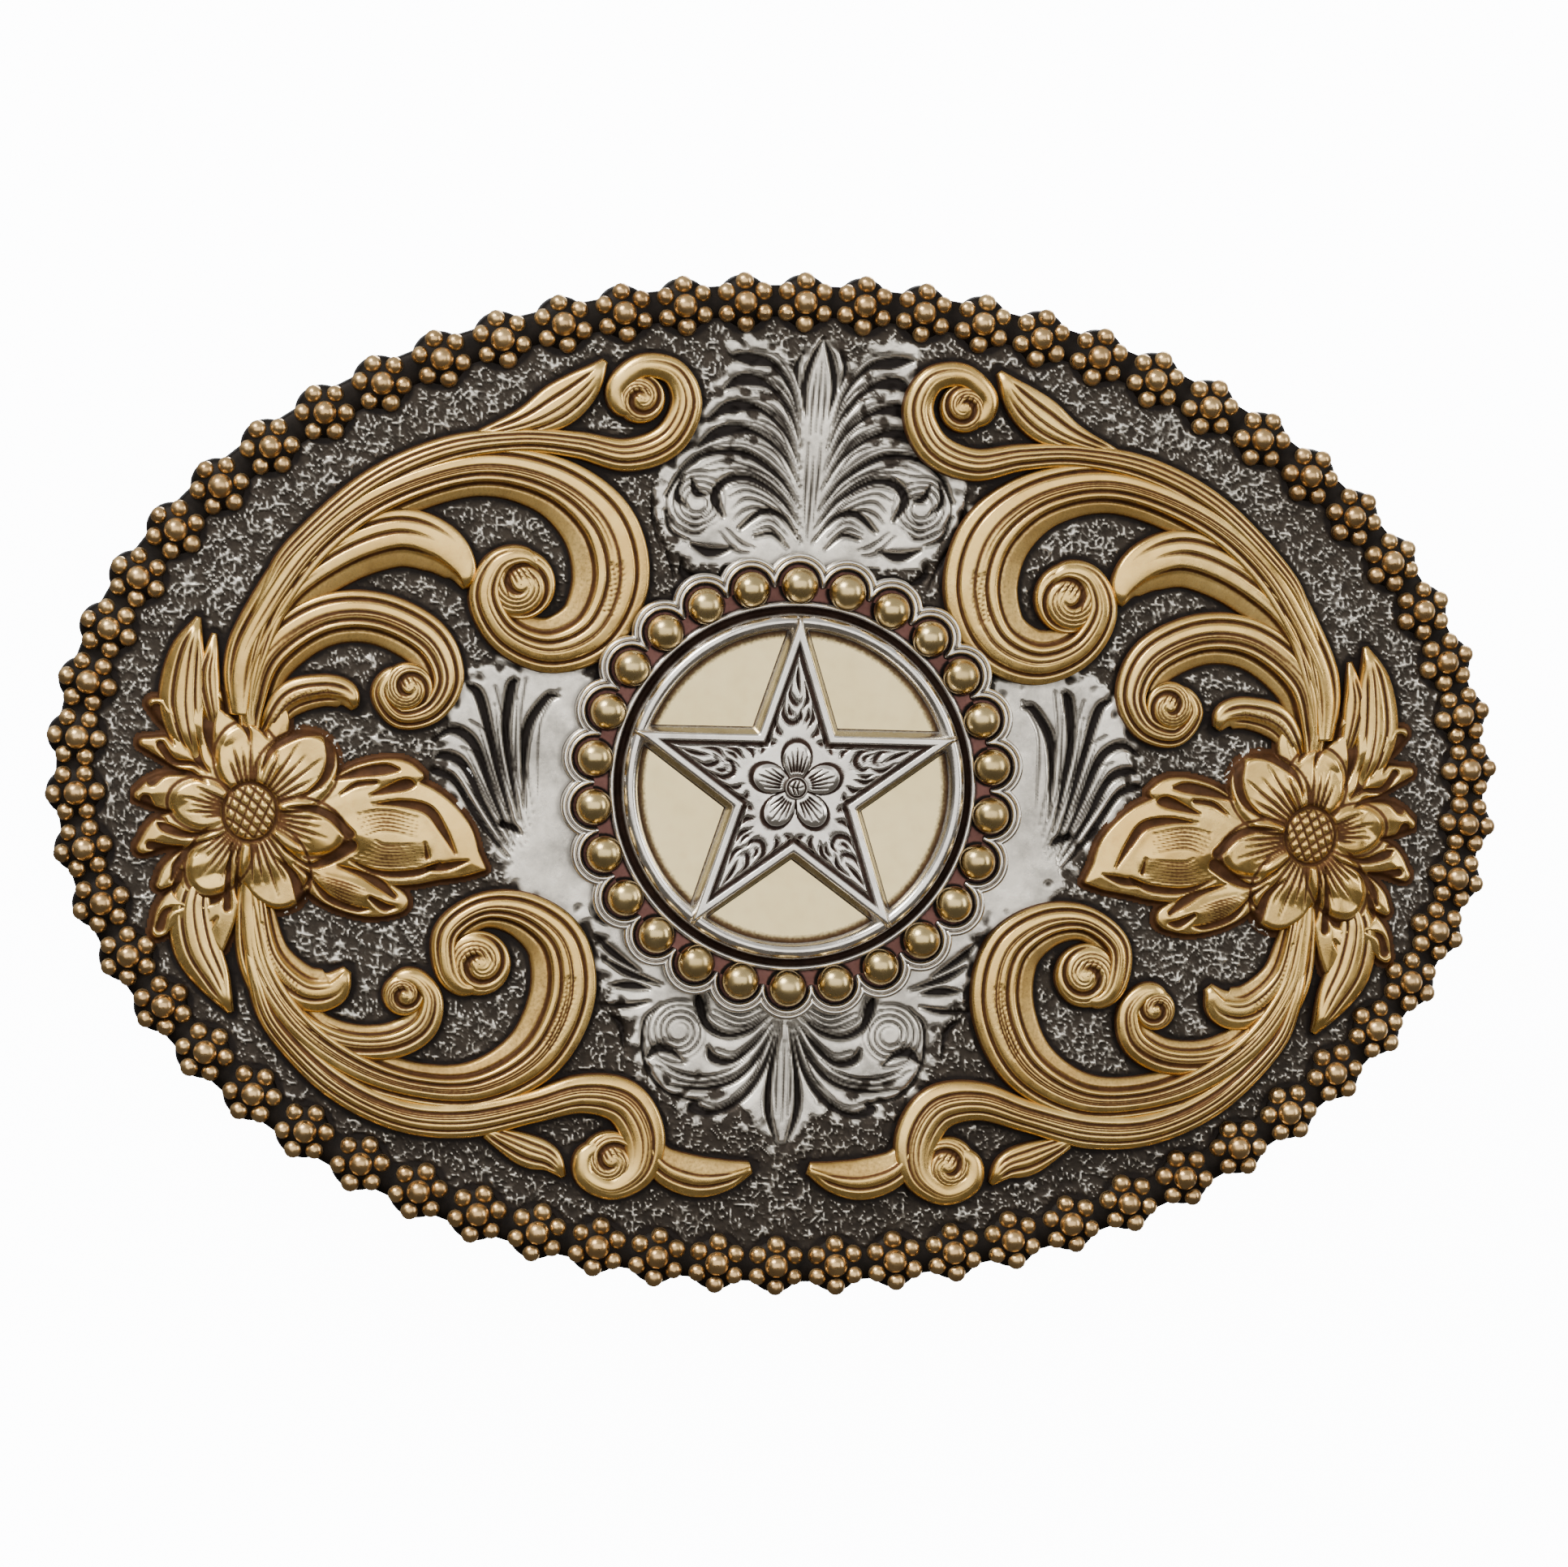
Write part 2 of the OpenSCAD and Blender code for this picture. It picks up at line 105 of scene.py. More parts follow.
def points_at(x, y, z):
    """World points, in metres, of arrays in millimetres that share a shape once broadcast."""
    return np.stack(np.broadcast_arrays(x, y, z), -1) * MM


def on_plate(x, z, level):
    """World points of plan points x, z at a level in front of the bent base plate."""
    return points_at(x, BEND_R - np.sqrt((BEND_R + level) ** 2 - x ** 2) + FRONT_Y, z)


def on_concho(x, z, height):
    """World points of the concho, which is flat: height is in front of its own plane."""
    return points_at(x, FRONT_Y - CONCHO_PLANE - height, z)


def spline(points, step):
    """Points every step along a smooth curve through [x, z, width, ...] rows."""
    p = np.array(points, float)
    p = np.vstack([2 * p[0] - p[1], p, 2 * p[-1] - p[-2]])
    t = np.linspace(0, 1, 24, endpoint=False)[:, None]
    rows = []
    for a, b, c, d in zip(p[:-3], p[1:-2], p[2:-1], p[3:]):
        rows.append(0.5 * (2 * b + (c - a) * t + (2 * a - 5 * b + 4 * c - d) * t ** 2
                           + (3 * b - a - 3 * c + d) * t ** 3))
    rows = np.vstack(rows + [p[-2:-1]])
    run = np.concatenate([[0], np.cumsum(np.hypot(*np.diff(rows[:, :2], axis=0).T))])
    even = np.linspace(0, run[-1], max(int(run[-1] / step), 4) + 1)
    return np.stack([np.interp(even, run, rows[:, k]) for k in range(rows.shape[1])], -1)


def lattice(rows, cols, closed=False):
    """Quads of a grid of rows x cols vertices, joined end to end along the columns if closed."""
    r, c = np.meshgrid(np.arange(rows - 1), np.arange(cols if closed else cols - 1), indexing="ij")
    n = (c + 1) % cols
    return np.stack([r * cols + c, r * cols + n, (r + 1) * cols + n, (r + 1) * cols + c], -1).reshape(-1, 4)


def turned_out(co, quads, towards):
    """The quads, wound so that the patch faces the given way on the whole."""
    a, b, d = (co[quads[:, k]] for k in (0, 1, 3))
    area = np.cross(b - a, d - a).sum(0)
    return quads if area @ np.array(towards, float) >= 0 else quads[:, ::-1]


class Shape:
    """Gathers patches of quads. Each vertex has a patina-and-shade value, 0 on top and 1 in the deep hollows,
    which besides the patina of the hollows carries painted shade beside raised parts and on the lower
    flanks of balls, and a tint value, 1 where the silver is left plain."""

    def __init__(self):
        self.co, self.quads, self.cut, self.tint, self.count = [], [], [], [], 0

    def add(self, co, quads, cut, tint=0.0):
        self.co.append(co)
        self.quads.append(quads + self.count)
        for store, values in ((self.cut, cut), (self.tint, tint)):
            store.append(np.broadcast_to(np.asarray(values, float).reshape(-1), (len(co),)))
        self.count += len(co)

    def grid(self, points, cut, closed=True, towards=FRONT):
        """Adds rows of points as one sheet that faces towards."""
        rows, cols = points.shape[:2]
        co = points.reshape(-1, 3)
        self.add(co, turned_out(co, lattice(rows, cols, closed), towards), np.broadcast_to(cut, (rows, cols)))

    def masked(self, points, keep, cut, tint=0.0):
        """Adds the quads of a grid of points whose flag in keep is set, facing the front."""
        quads = lattice(*points.shape[:2])[keep]
        used, quads = np.unique(quads, return_inverse=True)
        quads = quads.reshape(-1, 4)
        co = points.reshape(-1, 3)[used]
        tint = np.broadcast_to(tint, points.shape[:2]).ravel()[used]
        self.add(co, turned_out(co, quads, FRONT), cut.ravel()[used], tint)

    def build(self, name, material, slot, nodes):
        co = np.vstack(self.co).astype(np.float32)
        quads = np.vstack(self.quads).astype(np.int32)
        mesh = bpy.data.meshes.new(name)
        mesh.vertices.add(len(co))
        mesh.vertices.foreach_set("co", co.ravel())
        mesh.loops.add(quads.size)
        mesh.loops.foreach_set("vertex_index", quads.ravel())
        mesh.polygons.add(len(quads))
        mesh.polygons.foreach_set("loop_start", np.arange(0, quads.size, 4, dtype=np.int32))
        mesh.polygons.foreach_set("use_smooth", np.full(len(quads), True))
        for key, values in (("cut", self.cut), ("tint", self.tint)):
            layer = mesh.attributes.new(key, "FLOAT", "POINT")
            layer.data.foreach_set("value", np.concatenate(values).astype(np.float32))
        mesh.update(calc_edges=True)
        mesh.validate()
        piece = bpy.data.objects.new(name, mesh)
        bpy.context.scene.collection.objects.link(piece)
        mesh.materials.append(material)
        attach(piece, "buckle")
        if nodes:
            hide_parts(*nodes)


# ---------------------------------------------------------------- relief strokes
RIBBON_STEP = 0.16
RIBBON_PITCH = 0.075


def groove(offset, depth, half):
    """Height lost and cut value at a distance from an engraved line's middle, in mm."""
    v = bell(offset, half)
    return depth * v, np.minimum(v * 1.25, 1)


def ribbon(shape, points, outer, mirror, top, crown, lines, shoulder=None, ticks=None, dip=0.0):
    """A raised band along a curve. outer is 1 if its outer edge is on the left of its run, or -1.
    lines are (u, depth, half width, start, end): u runs from 1 at the outer edge to -1 at the inner.
    shoulder is (u, drop) of a lower inner part, and ticks (start, end) of a row of fine cross cuts."""
    path = spline(points, RIBBON_STEP)
    x, z, w = path[:, 0], path[:, 1], path[:, 2]
    heading = np.gradient(path[:, :2], axis=0)
    heading /= np.linalg.norm(heading, axis=1)[:, None]
    out = np.stack([-heading[:, 1], heading[:, 0]], -1) * outer
    turn = np.gradient(np.unwrap(np.arctan2(heading[:, 1], heading[:, 0]))) / RIBBON_STEP * outer
    # the side towards the middle of a tight bend stays short of the bend's own radius
    inner_half = np.minimum(w / 2, 0.92 / np.maximum(-turn, 1e-3))
    outer_half = np.minimum(w / 2, 0.92 / np.maximum(turn, 1e-3))

    count = max(int(w.max() / RIBBON_PITCH), 8)
    u = np.sin(np.linspace(-1, 1, count) * 1.25) / math.sin(1.25)
    s = np.linspace(0, 1, len(path))[:, None]
    along = s * RIBBON_STEP * (len(path) - 1)
    width = w[:, None]
    spread = np.where(u > 0, u * outer_half[:, None], u * inner_half[:, None])
    round_off = rounded((1 - np.abs(u)) * width / 2, SOFT_EDGE)
    slim = smooth(0.3, 1.6, width)
    height = top + crown * slim * (1 - u ** 2) - 0.8 * round_off - 0.35 * (1 - smooth(0, 1.1, width))
    height = height - dip * (1 - smooth(0.0, 0.22, s))
    cut = 0.5 * (round_off / SOFT_EDGE) ** 1.5 + 0.16 * smooth(0.5, 1.0, np.abs(u))
    if shoulder:
        low, drop = shoulder
        on = smooth(low + 0.14, low - 0.06, u) * slim
        height = height - drop * on
        cut = np.maximum(cut, 0.34 * on)
    for number, (mid, depth, half, start, end) in enumerate(lines):
        wander = 0.02 * np.sin(5.0 * s + 2.1 * number)
        fade = smooth(start - 1e-3, start + 0.1, s) * (1 - smooth(end - 0.14, end + 1e-3, s))
        room = smooth(0.35, 1.5, width)
        loss, dark = groove((u - mid - wander) * width / 2, depth, half * (0.5 + 0.5 * fade))
        height = height - loss * fade * room
        cut = np.maximum(cut, dark * np.sqrt(fade) * room)
    if ticks:
        start, end, low, high, period = ticks
        inside = (s > start) & (s < end)
        inside = inside * smooth(low - 0.1, low + 0.1, u) * (1 - smooth(high - 0.1, high + 0.1, u))
        loss, dark = groove((along + 0.25 * u * width) % period - period / 2, 0.11, 0.07)
        height = height - loss * inside
        cut = np.maximum(cut, 0.6 * dark * inside)

    # walls: two more columns each side, then a closing row at each end
    left, right = spread[:, :1], spread[:, -1:]
    lateral = np.hstack([left - 0.07, left - 0.02, spread, right + 0.02, right + 0.07])
    mid_wall = np.minimum(height[:, :1], height[:, -1:]) * 0.5 + GOLD_FOOT * 0.5
    foot = np.full_like(mid_wall, GOLD_FOOT)
    height = np.hstack([foot, mid_wall, height, mid_wall, foot])
    cut = np.pad(np.pad(cut, ((0, 0), (1, 1)), constant_values=0.8), ((0, 0), (1, 1)), constant_values=1)
    rows = [0, *range(len(path)), len(path) - 1]
    lateral, height, cut = lateral[rows], height[rows], cut[rows]
    height[[0, -1]] = GOLD_FOOT
    cut[[0, -1]] = 1
    px = (x[rows, None] + out[rows, :1] * lateral) * mirror
    pz = z[rows, None] + out[rows, 1:] * lateral
    shape.grid(on_plate(px, pz, height), cut, closed=False)


EYE_TURNS = 1.35


def eye(shape, x0, z0, radius, spin, top, mirror):
    """The round middle of a volute: a low dome with a spiral cut and a patch of fine curved lines."""
    rings = max(int(radius / 0.07), 10)
    spokes = max(int(2 * math.pi * radius / 0.13), 24)
    rho = np.linspace(0.02, 1, rings)[:, None]
    theta = circle(spokes)
    edge = SOFT_EDGE / radius
    round_off = rounded(1 - rho, edge)
    height = top + 0.4 * (1 - rho ** 2) - 0.8 * radius * round_off
    cut = 0.4 * (round_off / edge) ** 1.5
    gap = radius / EYE_TURNS
    phase = rho * EYE_TURNS - spin * (theta / (2 * math.pi))
    seen = smooth(0.14, 0.26, rho) * (1 - smooth(0.84, 0.97, rho))
    loss, dark = groove((phase - np.round(phase)) * gap, 0.3, 0.14 * (0.75 + 1.5 * (1 - rho)))
    height = height - loss * seen
    cut = np.maximum(cut, dark * seen)
    for part in (0.32, 0.5, 0.68):
        # fine lines run beside the spiral
        loss, dark = groove((phase + part - np.round(phase + part)) * gap, 0.06, 0.055)
        height = height - loss * seen
        cut = np.maximum(cut, 0.8 * dark * seen * smooth(0.3, 0.45, rho))
    px = rho * np.cos(theta) * radius
    pz = rho * np.sin(theta) * radius
    bow = px * 0.8 + 0.35 * pz + 0.12 * pz ** 2
    inside = (1 - smooth(0.42, 0.62, rho)) * smooth(0.0, 0.25, rho * (1 + np.cos(theta - 2.2)) / 2)
    loss, dark = groove((bow % 0.34) - 0.17, 0.09, 0.06)
    height = height - loss * inside
    cut = np.maximum(cut, dark * inside * 0.9)
    # the wall: half way down, then at the foot
    rho = np.vstack([rho, [[1 + 0.03 / radius]], [[1 + 0.08 / radius]]])
    ends = np.ones((1, spokes))
    height = np.vstack([height, ends * ((top + GOLD_FOOT) / 2 - 0.1), ends * GOLD_FOOT])
    cut = np.vstack([cut, ends * 0.8, ends])
    px = (x0 + radius * rho * np.cos(theta)) * mirror
    pz = z0 + radius * rho * np.sin(theta)
    shape.grid(on_plate(px, pz, height), cut)


# Engraved line sets: (u, depth, half width, start, end)
BROAD = [[0.66, 0.22, 0.13, 0, 1], [0.26, 0.08, 0.055, 0.06, 0.86], [0.16, 0.07, 0.05, 0.2, 0.97],
         [0.06, 0.08, 0.055, 0.1, 0.72], [-0.1, 0.22, 0.13, 0, 1], [-0.48, 0.26, 0.14, 0.02, 1]]
LEAFY = [[0.66, 0.2, 0.12, 0, 0.9], [0.4, 0.08, 0.055, 0.1, 0.66], [0.18, 0.2, 0.12, 0, 0.86],
         [-0.04, 0.08, 0.055, 0.15, 0.56], [-0.36, 0.22, 0.13, 0, 0.9]]
SLIM = [[0.42, 0.18, 0.12, 0, 0.93], [-0.1, 0.1, 0.07, 0.05, 0.9], [-0.55, 0.14, 0.09, 0.05, 0.85]]

# The scroll overlays' strokes, left side: [x, z, width] along the middle of each
CREST = [[-37.4, 9.6, 0.3], [-36, 12.5, 1], [-34.2, 15.3, 1.5], [-29.4, 19.7, 1.8], [-24.4, 22.2, 1.8],
         [-19.4, 23.1, 1.6], [-15.4, 22.9, 1.8], [-12, 22.3, 2.2], [-9.2, 23.4, 2.3], [-8, 25.9, 2.1],
         [-8.9, 28, 1.8], [-11.1, 28.4, 1.6], [-12.8, 27, 1.4], [-12.6, 25.6, 1.1], [-11.4, 25.1, 0.6]]
GREAT_SCROLL = [[-37.6, 3.8, 1.6], [-37.4, 7, 2.9], [-36.2, 10, 3.4], [-32.8, 15.2, 3.6],
                [-28.3, 18.8, 3.4], [-22.3, 20.9, 3.4], [-17.3, 20.2, 4], [-13.9, 17.6, 5],
                [-12.8, 14, 5.2], [-14, 10.6, 4.6], [-16.8, 9.2, 3.8], [-19.6, 10.1, 3.2],
                [-21, 12.4, 2.9], [-20.4, 14.5, 2.2], [-18.8, 15.1, 1.5], [-17.5, 14.2, 0.5]]
INNER_LEAF = [[-36.9, 2.8, 1.2], [-36.8, 6, 2.2], [-35, 11.5, 3.4], [-31.5, 14.6, 3.8], [-27.6, 16.2, 4],
              [-24.8, 15.7, 3.6], [-23.1, 14.3, 2.4], [-22.6, 12.9, 0.5]]
SMALL_SCROLL = [[-36.8, 1.6, 1.4], [-36.6, 4.4, 2.4], [-35.6, 7.8, 3.4], [-32.4, 10.3, 3.5],
                [-28.8, 10.7, 3.5], [-25.4, 9.2, 3.5], [-24.1, 6.8, 3], [-24.9, 4.8, 2.4], [-26.8, 4.2, 2],
                [-28, 5.5, 1.7], [-27.6, 6.7, 1.2], [-26.6, 7.2, 0.5]]
SMALL_LEAF = [[-36.2, 2.2, 0.9], [-34.5, 4.8, 2.3], [-32.3, 5.6, 2.2], [-30.6, 5.4, 1.9],
              [-29.9, 4.5, 0.6]]
TOP_BUD = [[-22, 23.4, 0.6], [-19, 24.3, 2], [-16.8, 25.5, 3], [-15, 27, 2.3], [-13.6, 28.7, 0.4]]
SPIKE = [[-39.2, 2.4, 0.8], [-39.9, 6, 1.7], [-39.7, 8, 1], [-39.5, 9.3, 0.3]]
LOW_CREST = [[-36.9, -11.2, 0.4], [-36, -14.5, 1.3], [-34.6, -17.5, 1.6], [-30.8, -21.1, 2],
             [-26.3, -23.2, 2.2], [-21.8, -23.5, 2.4], [-17.3, -22.5, 2.2], [-13.8, -21.5, 2.6],
             [-10.9, -22, 3.1], [-9.5, -24.2, 3], [-9.7, -26.6, 2.3], [-11.5, -27.9, 1.6],
             [-13.3, -27.2, 1.5], [-13.5, -25.8, 1.3], [-12.5, -24.9, 0.8]]
LOW_TAIL = [[-9.4, -24.4, 1.2], [-8, -26.2, 2.4], [-5.9, -27, 2.8], [-3.9, -26.9, 2.2], [-2, -26.3, 0.8]]
LOW_SCROLL = [[-36.8, -7.2, 1.4], [-36.4, -10, 2.5], [-35.6, -13.5, 3], [-33, -17.2, 3.3],
              [-29.2, -19.8, 3.1], [-25, -21.1, 2.8], [-20.8, -21, 3.2], [-17.1, -18.8, 4],
              [-15.3, -15, 4.4], [-15.7, -11.4, 4.1], [-18, -9.4, 3.2], [-20.8, -9.1, 2.4],
              [-23, -10.7, 2.3], [-23, -13.1, 2.1], [-22.1, -14.3, 1.4], [-20.7, -14.2, 0.5]]
LOW_SMALL = [[-36.6, -6.8, 1.2], [-36.4, -9.5, 2], [-35.4, -13.6, 2.4], [-33.4, -16.6, 2.6],
             [-30.4, -18.2, 2.4], [-27.2, -18.3, 2.4], [-25, -17.2, 2.4], [-24.4, -15.3, 2],
             [-25.3, -14, 1.6], [-26.3, -13.9, 1.1], [-27, -14.7, 0.4]]
LOW_LEAF = [[-36, -6.6, 0.9], [-35.9, -9, 1.6], [-35.1, -12.6, 2.5], [-33, -14.7, 3], [-31, -14.7, 2.6],
            [-29.9, -13.4, 0.6]]
LOW_BUD = [[-20.2, -24.2, 1], [-17.6, -25.4, 2.2], [-15.9, -26, 1.8], [-14.8, -27.2, 0.4]]
OUTER_LEAF = [[-40.6, 0.6, 1.4], [-41.3, 2.8, 2.6], [-41.6, 5, 3.1], [-41.3, 8, 2.3], [-40.6, 10.4, 0.3]]
OUTER_LOW_LEAF = [[-39.8, -6.8, 1.4], [-40.6, -9.2, 2.7], [-40.2, -12, 3.2], [-39, -14.3, 2.4],
                  [-37.7, -16.6, 0.4]]
# Middles of the volutes: [x, z, radius], and which way each spiral turns
UPPER_EYES = [[-11.2, 26.2, 1.7], [-19, 13.3, 2.4], [-26.4, 6, 1.7]]
UPPER_SPINS = (1, -1, -1)
LOWER_EYES = [[-11.7, -26, 2], [-21.1, -12.7, 2.2], [-26.1, -15, 1.4]]
LOWER_SPINS = (-1, 1, 1)
SCROLLED = (-0.5, 0.45)               # shoulder of the great scrolls

# The bands of each overlay, lowest first: points, outer, top, crown, lines, and what only some have
UPPER_BANDS = (
    (OUTER_LEAF, 1, 1.05, 0.45, SLIM, dict(dip=0.45)),
    (SPIKE, 1, 1.0, 0.4, SLIM[:2], dict(dip=0.4)),
    (SMALL_LEAF, 1, 1.12, 0.3, SLIM,
     dict(shoulder=(-0.3, 0.3), ticks=(0.15, 0.75, -0.3, 0.2, 0.36), dip=0.5)),
    (SMALL_SCROLL, 1, 1.16, 0.3, BROAD, dict(shoulder=SCROLLED, dip=0.3)),
    (INNER_LEAF, 1, 1.22, 0.3, LEAFY, dict(shoulder=(-0.45, 0.4), dip=0.3)),
    (GREAT_SCROLL, 1, 1.3, 0.36, BROAD,
     dict(shoulder=SCROLLED, ticks=(0.66, 0.72, -0.1, 0.35, 0.36), dip=0.3)),
    (TOP_BUD, 1, 1.25, 0.25, SLIM, {}),
    (CREST, -1, 1.36, 0.32, SLIM, {}),
)
LOWER_BANDS = (
    (OUTER_LOW_LEAF, -1, 1.05, 0.45, SLIM, dict(dip=0.45)),
    (LOW_LEAF, -1, 1.12, 0.3, SLIM,
     dict(shoulder=(-0.4, 0.3), ticks=(0.3, 0.7, -0.1, 0.4, 0.34), dip=0.4)),
    (LOW_SMALL, -1, 1.18, 0.3, SLIM + BROAD[1:3], dict(shoulder=(-0.5, 0.35), dip=0.3)),
    (LOW_BUD, -1, 1.2, 0.25, SLIM, {}),
    (LOW_TAIL, -1, 1.2, 0.3, SLIM[:2], dict(shoulder=(-0.2, 0.3))),
    (LOW_SCROLL, -1, 1.28, 0.36, BROAD,
     dict(shoulder=SCROLLED, ticks=(0.58, 0.68, -0.1, 0.35, 0.36), dip=0.3)),
    (LOW_CREST, 1, 1.34, 0.34, SLIM + BROAD[1:3], {}),
)


def scroll(side, bands, eyes, spins, eye_top):
    """One scroll overlay; side is -1 for the left and 1 for the right."""
    shape = Shape()
    for points, outer, top, crown, lines, more in bands:
        ribbon(shape, points, outer, -side, top, crown, lines, **more)
    for middle, spin in zip(eyes, spins):
        eye(shape, *middle, spin, eye_top, -side)
    return shape


# ---------------------------------------------------------------- carved patches
def within(x, z, points):
    """Depth inside a stroke: its half width less the distance to its middle line. It is true to
    0.8 mm outside the stroke."""
    path = spline(points, 0.08)
    depth = np.full(x.shape, OUTSIDE)
    grow = path[:, 2].max() / 2 + 0.8
    near = ((x > path[:, 0].min() - grow) & (x < path[:, 0].max() + grow)
            & (z > path[:, 1].min() - grow) & (z < path[:, 1].max() + grow))
    px, pz = x[near], z[near]
    best = np.full(px.shape, OUTSIDE)
    for a, b, w in path:
        best = np.maximum(best, w / 2 - np.hypot(px - a, pz - b))
    depth[near] = best
    return depth


def within_far(x, z, points):
    """As within, but coarser and true to 3 mm outside the stroke."""
    best = np.full(x.shape, OUTSIDE)
    for a, b, w in spline(points, 0.3):
        box = (abs(x - a) < 4.5) & (abs(z - b) < 4.5)
        best[box] = np.maximum(best[box], w / 2 - np.hypot(x[box] - a, z[box] - b))
    return best


def oval_within(x, z, cx, cz, a, b, angle):
    """Rough depth inside an oval of half axes a, b turned by an angle in degrees."""
    c, s = math.cos(math.radians(angle)), math.sin(math.radians(angle))
    u, v = (x - cx) * c + (z - cz) * s, -(x - cx) * s + (z - cz) * c
    return (1 - np.hypot(u / a, v / b)) * min(a, b)


class Carving:
    """A height and a patina-and-shade value at each of some plan points, worked on with gouges."""

    def __init__(self, x, z, height):
        self.x, self.z = x, z
        self.height = np.broadcast_to(height, x.shape).astype(float).copy()
        self.cut = np.zeros(x.shape)

    def gouge(self, points, depth, soft, dark=1.0):
        on = smooth(-soft, soft, within(self.x, self.z, points))
        self.height -= depth * on
        self.darken(dark * on)

    def mound(self, points, lift, falloff):
        self.height += lift * smooth(0, falloff, within(self.x, self.z, points))

    def darken(self, values):
        self.cut = np.maximum(self.cut, values)


def patch(shape, carving, inside, base, place, wall=0.2, mirror=1):
    """Adds a grid carving as a raised patch with steep walls where inside crosses 0."""
    height = base + (carving.height - base) * smooth(-0.1, wall, inside)
    cut = np.maximum(carving.cut, smooth(wall + 0.06, -0.02, inside))
    keep = (inside > -0.26).ravel()[lattice(*inside.shape)].any(1)
    shape.masked(place(carving.x * mirror, carving.z, height), keep, cut)


# ---------------------------------------------------------------- flowers, left side
FLOWER_AT = (-36.85, -2.8)
FLOWER_R = 5.2
FLOWER_CELL = 0.105
# Petals, the upper ones overlapping the next: [angle, reach, width]
PETALS = [[95, 6.2, 4.4], [43, 7.3, 5.2], [-14, 6.6, 3.9], [-66, 7.2, 4.8], [-122, 6.6, 4],
          [172, 5.6, 3.6]]
CALYX = [
    [[-39, 2.5, 3], [-41.8, 3.6, 2.4], [-43.5, 4.4, 0.9]], [[-39, 0, 3], [-42, 1.2, 2], [-44.1, 1.7, 0.8]],
    [[-39, -2, 3], [-42.4, -1.6, 2.6], [-44.3, -1.9, 0.9]],
    [[-39, -4, 3], [-42.3, -4.3, 2.4], [-44, -5.5, 1]], [[-39, -6, 3.4], [-41.6, -7, 2], [-42.7, -8, 0.8]],
    [[-39, -8, 3], [-41.5, -9.6, 2.6], [-42.8, -11.2, 1]],
    [[-39, 1, 2], [-39.5, 3.6, 1.9], [-39.1, 5.3, 0.4]],
    [[-35.4, 2, 1.8], [-34.9, 3.6, 1.3], [-35, 4.9, 0.3]],
    [[-38, -7, 2], [-38.7, -10, 2.4], [-38.5, -12.2, 0.6]],
]
BUD = [
    [[-33, -4, 3], [-30, -3.6, 6.5], [-27, -3.8, 7.6], [-24.4, -4.4, 5.6], [-22.5, -5.5, 2.8],
     [-20.9, -6.2, 0.5]],
    [[-31.5, -1.6, 2], [-29.2, -0.6, 2.8], [-27, -0.1, 2.6], [-25.5, 0, 0.9]],
    [[-33.2, -6.2, 2], [-31.2, -7.4, 3.2], [-28.8, -8.3, 3], [-27, -8.6, 2], [-26.4, -8.7, 1]],
]
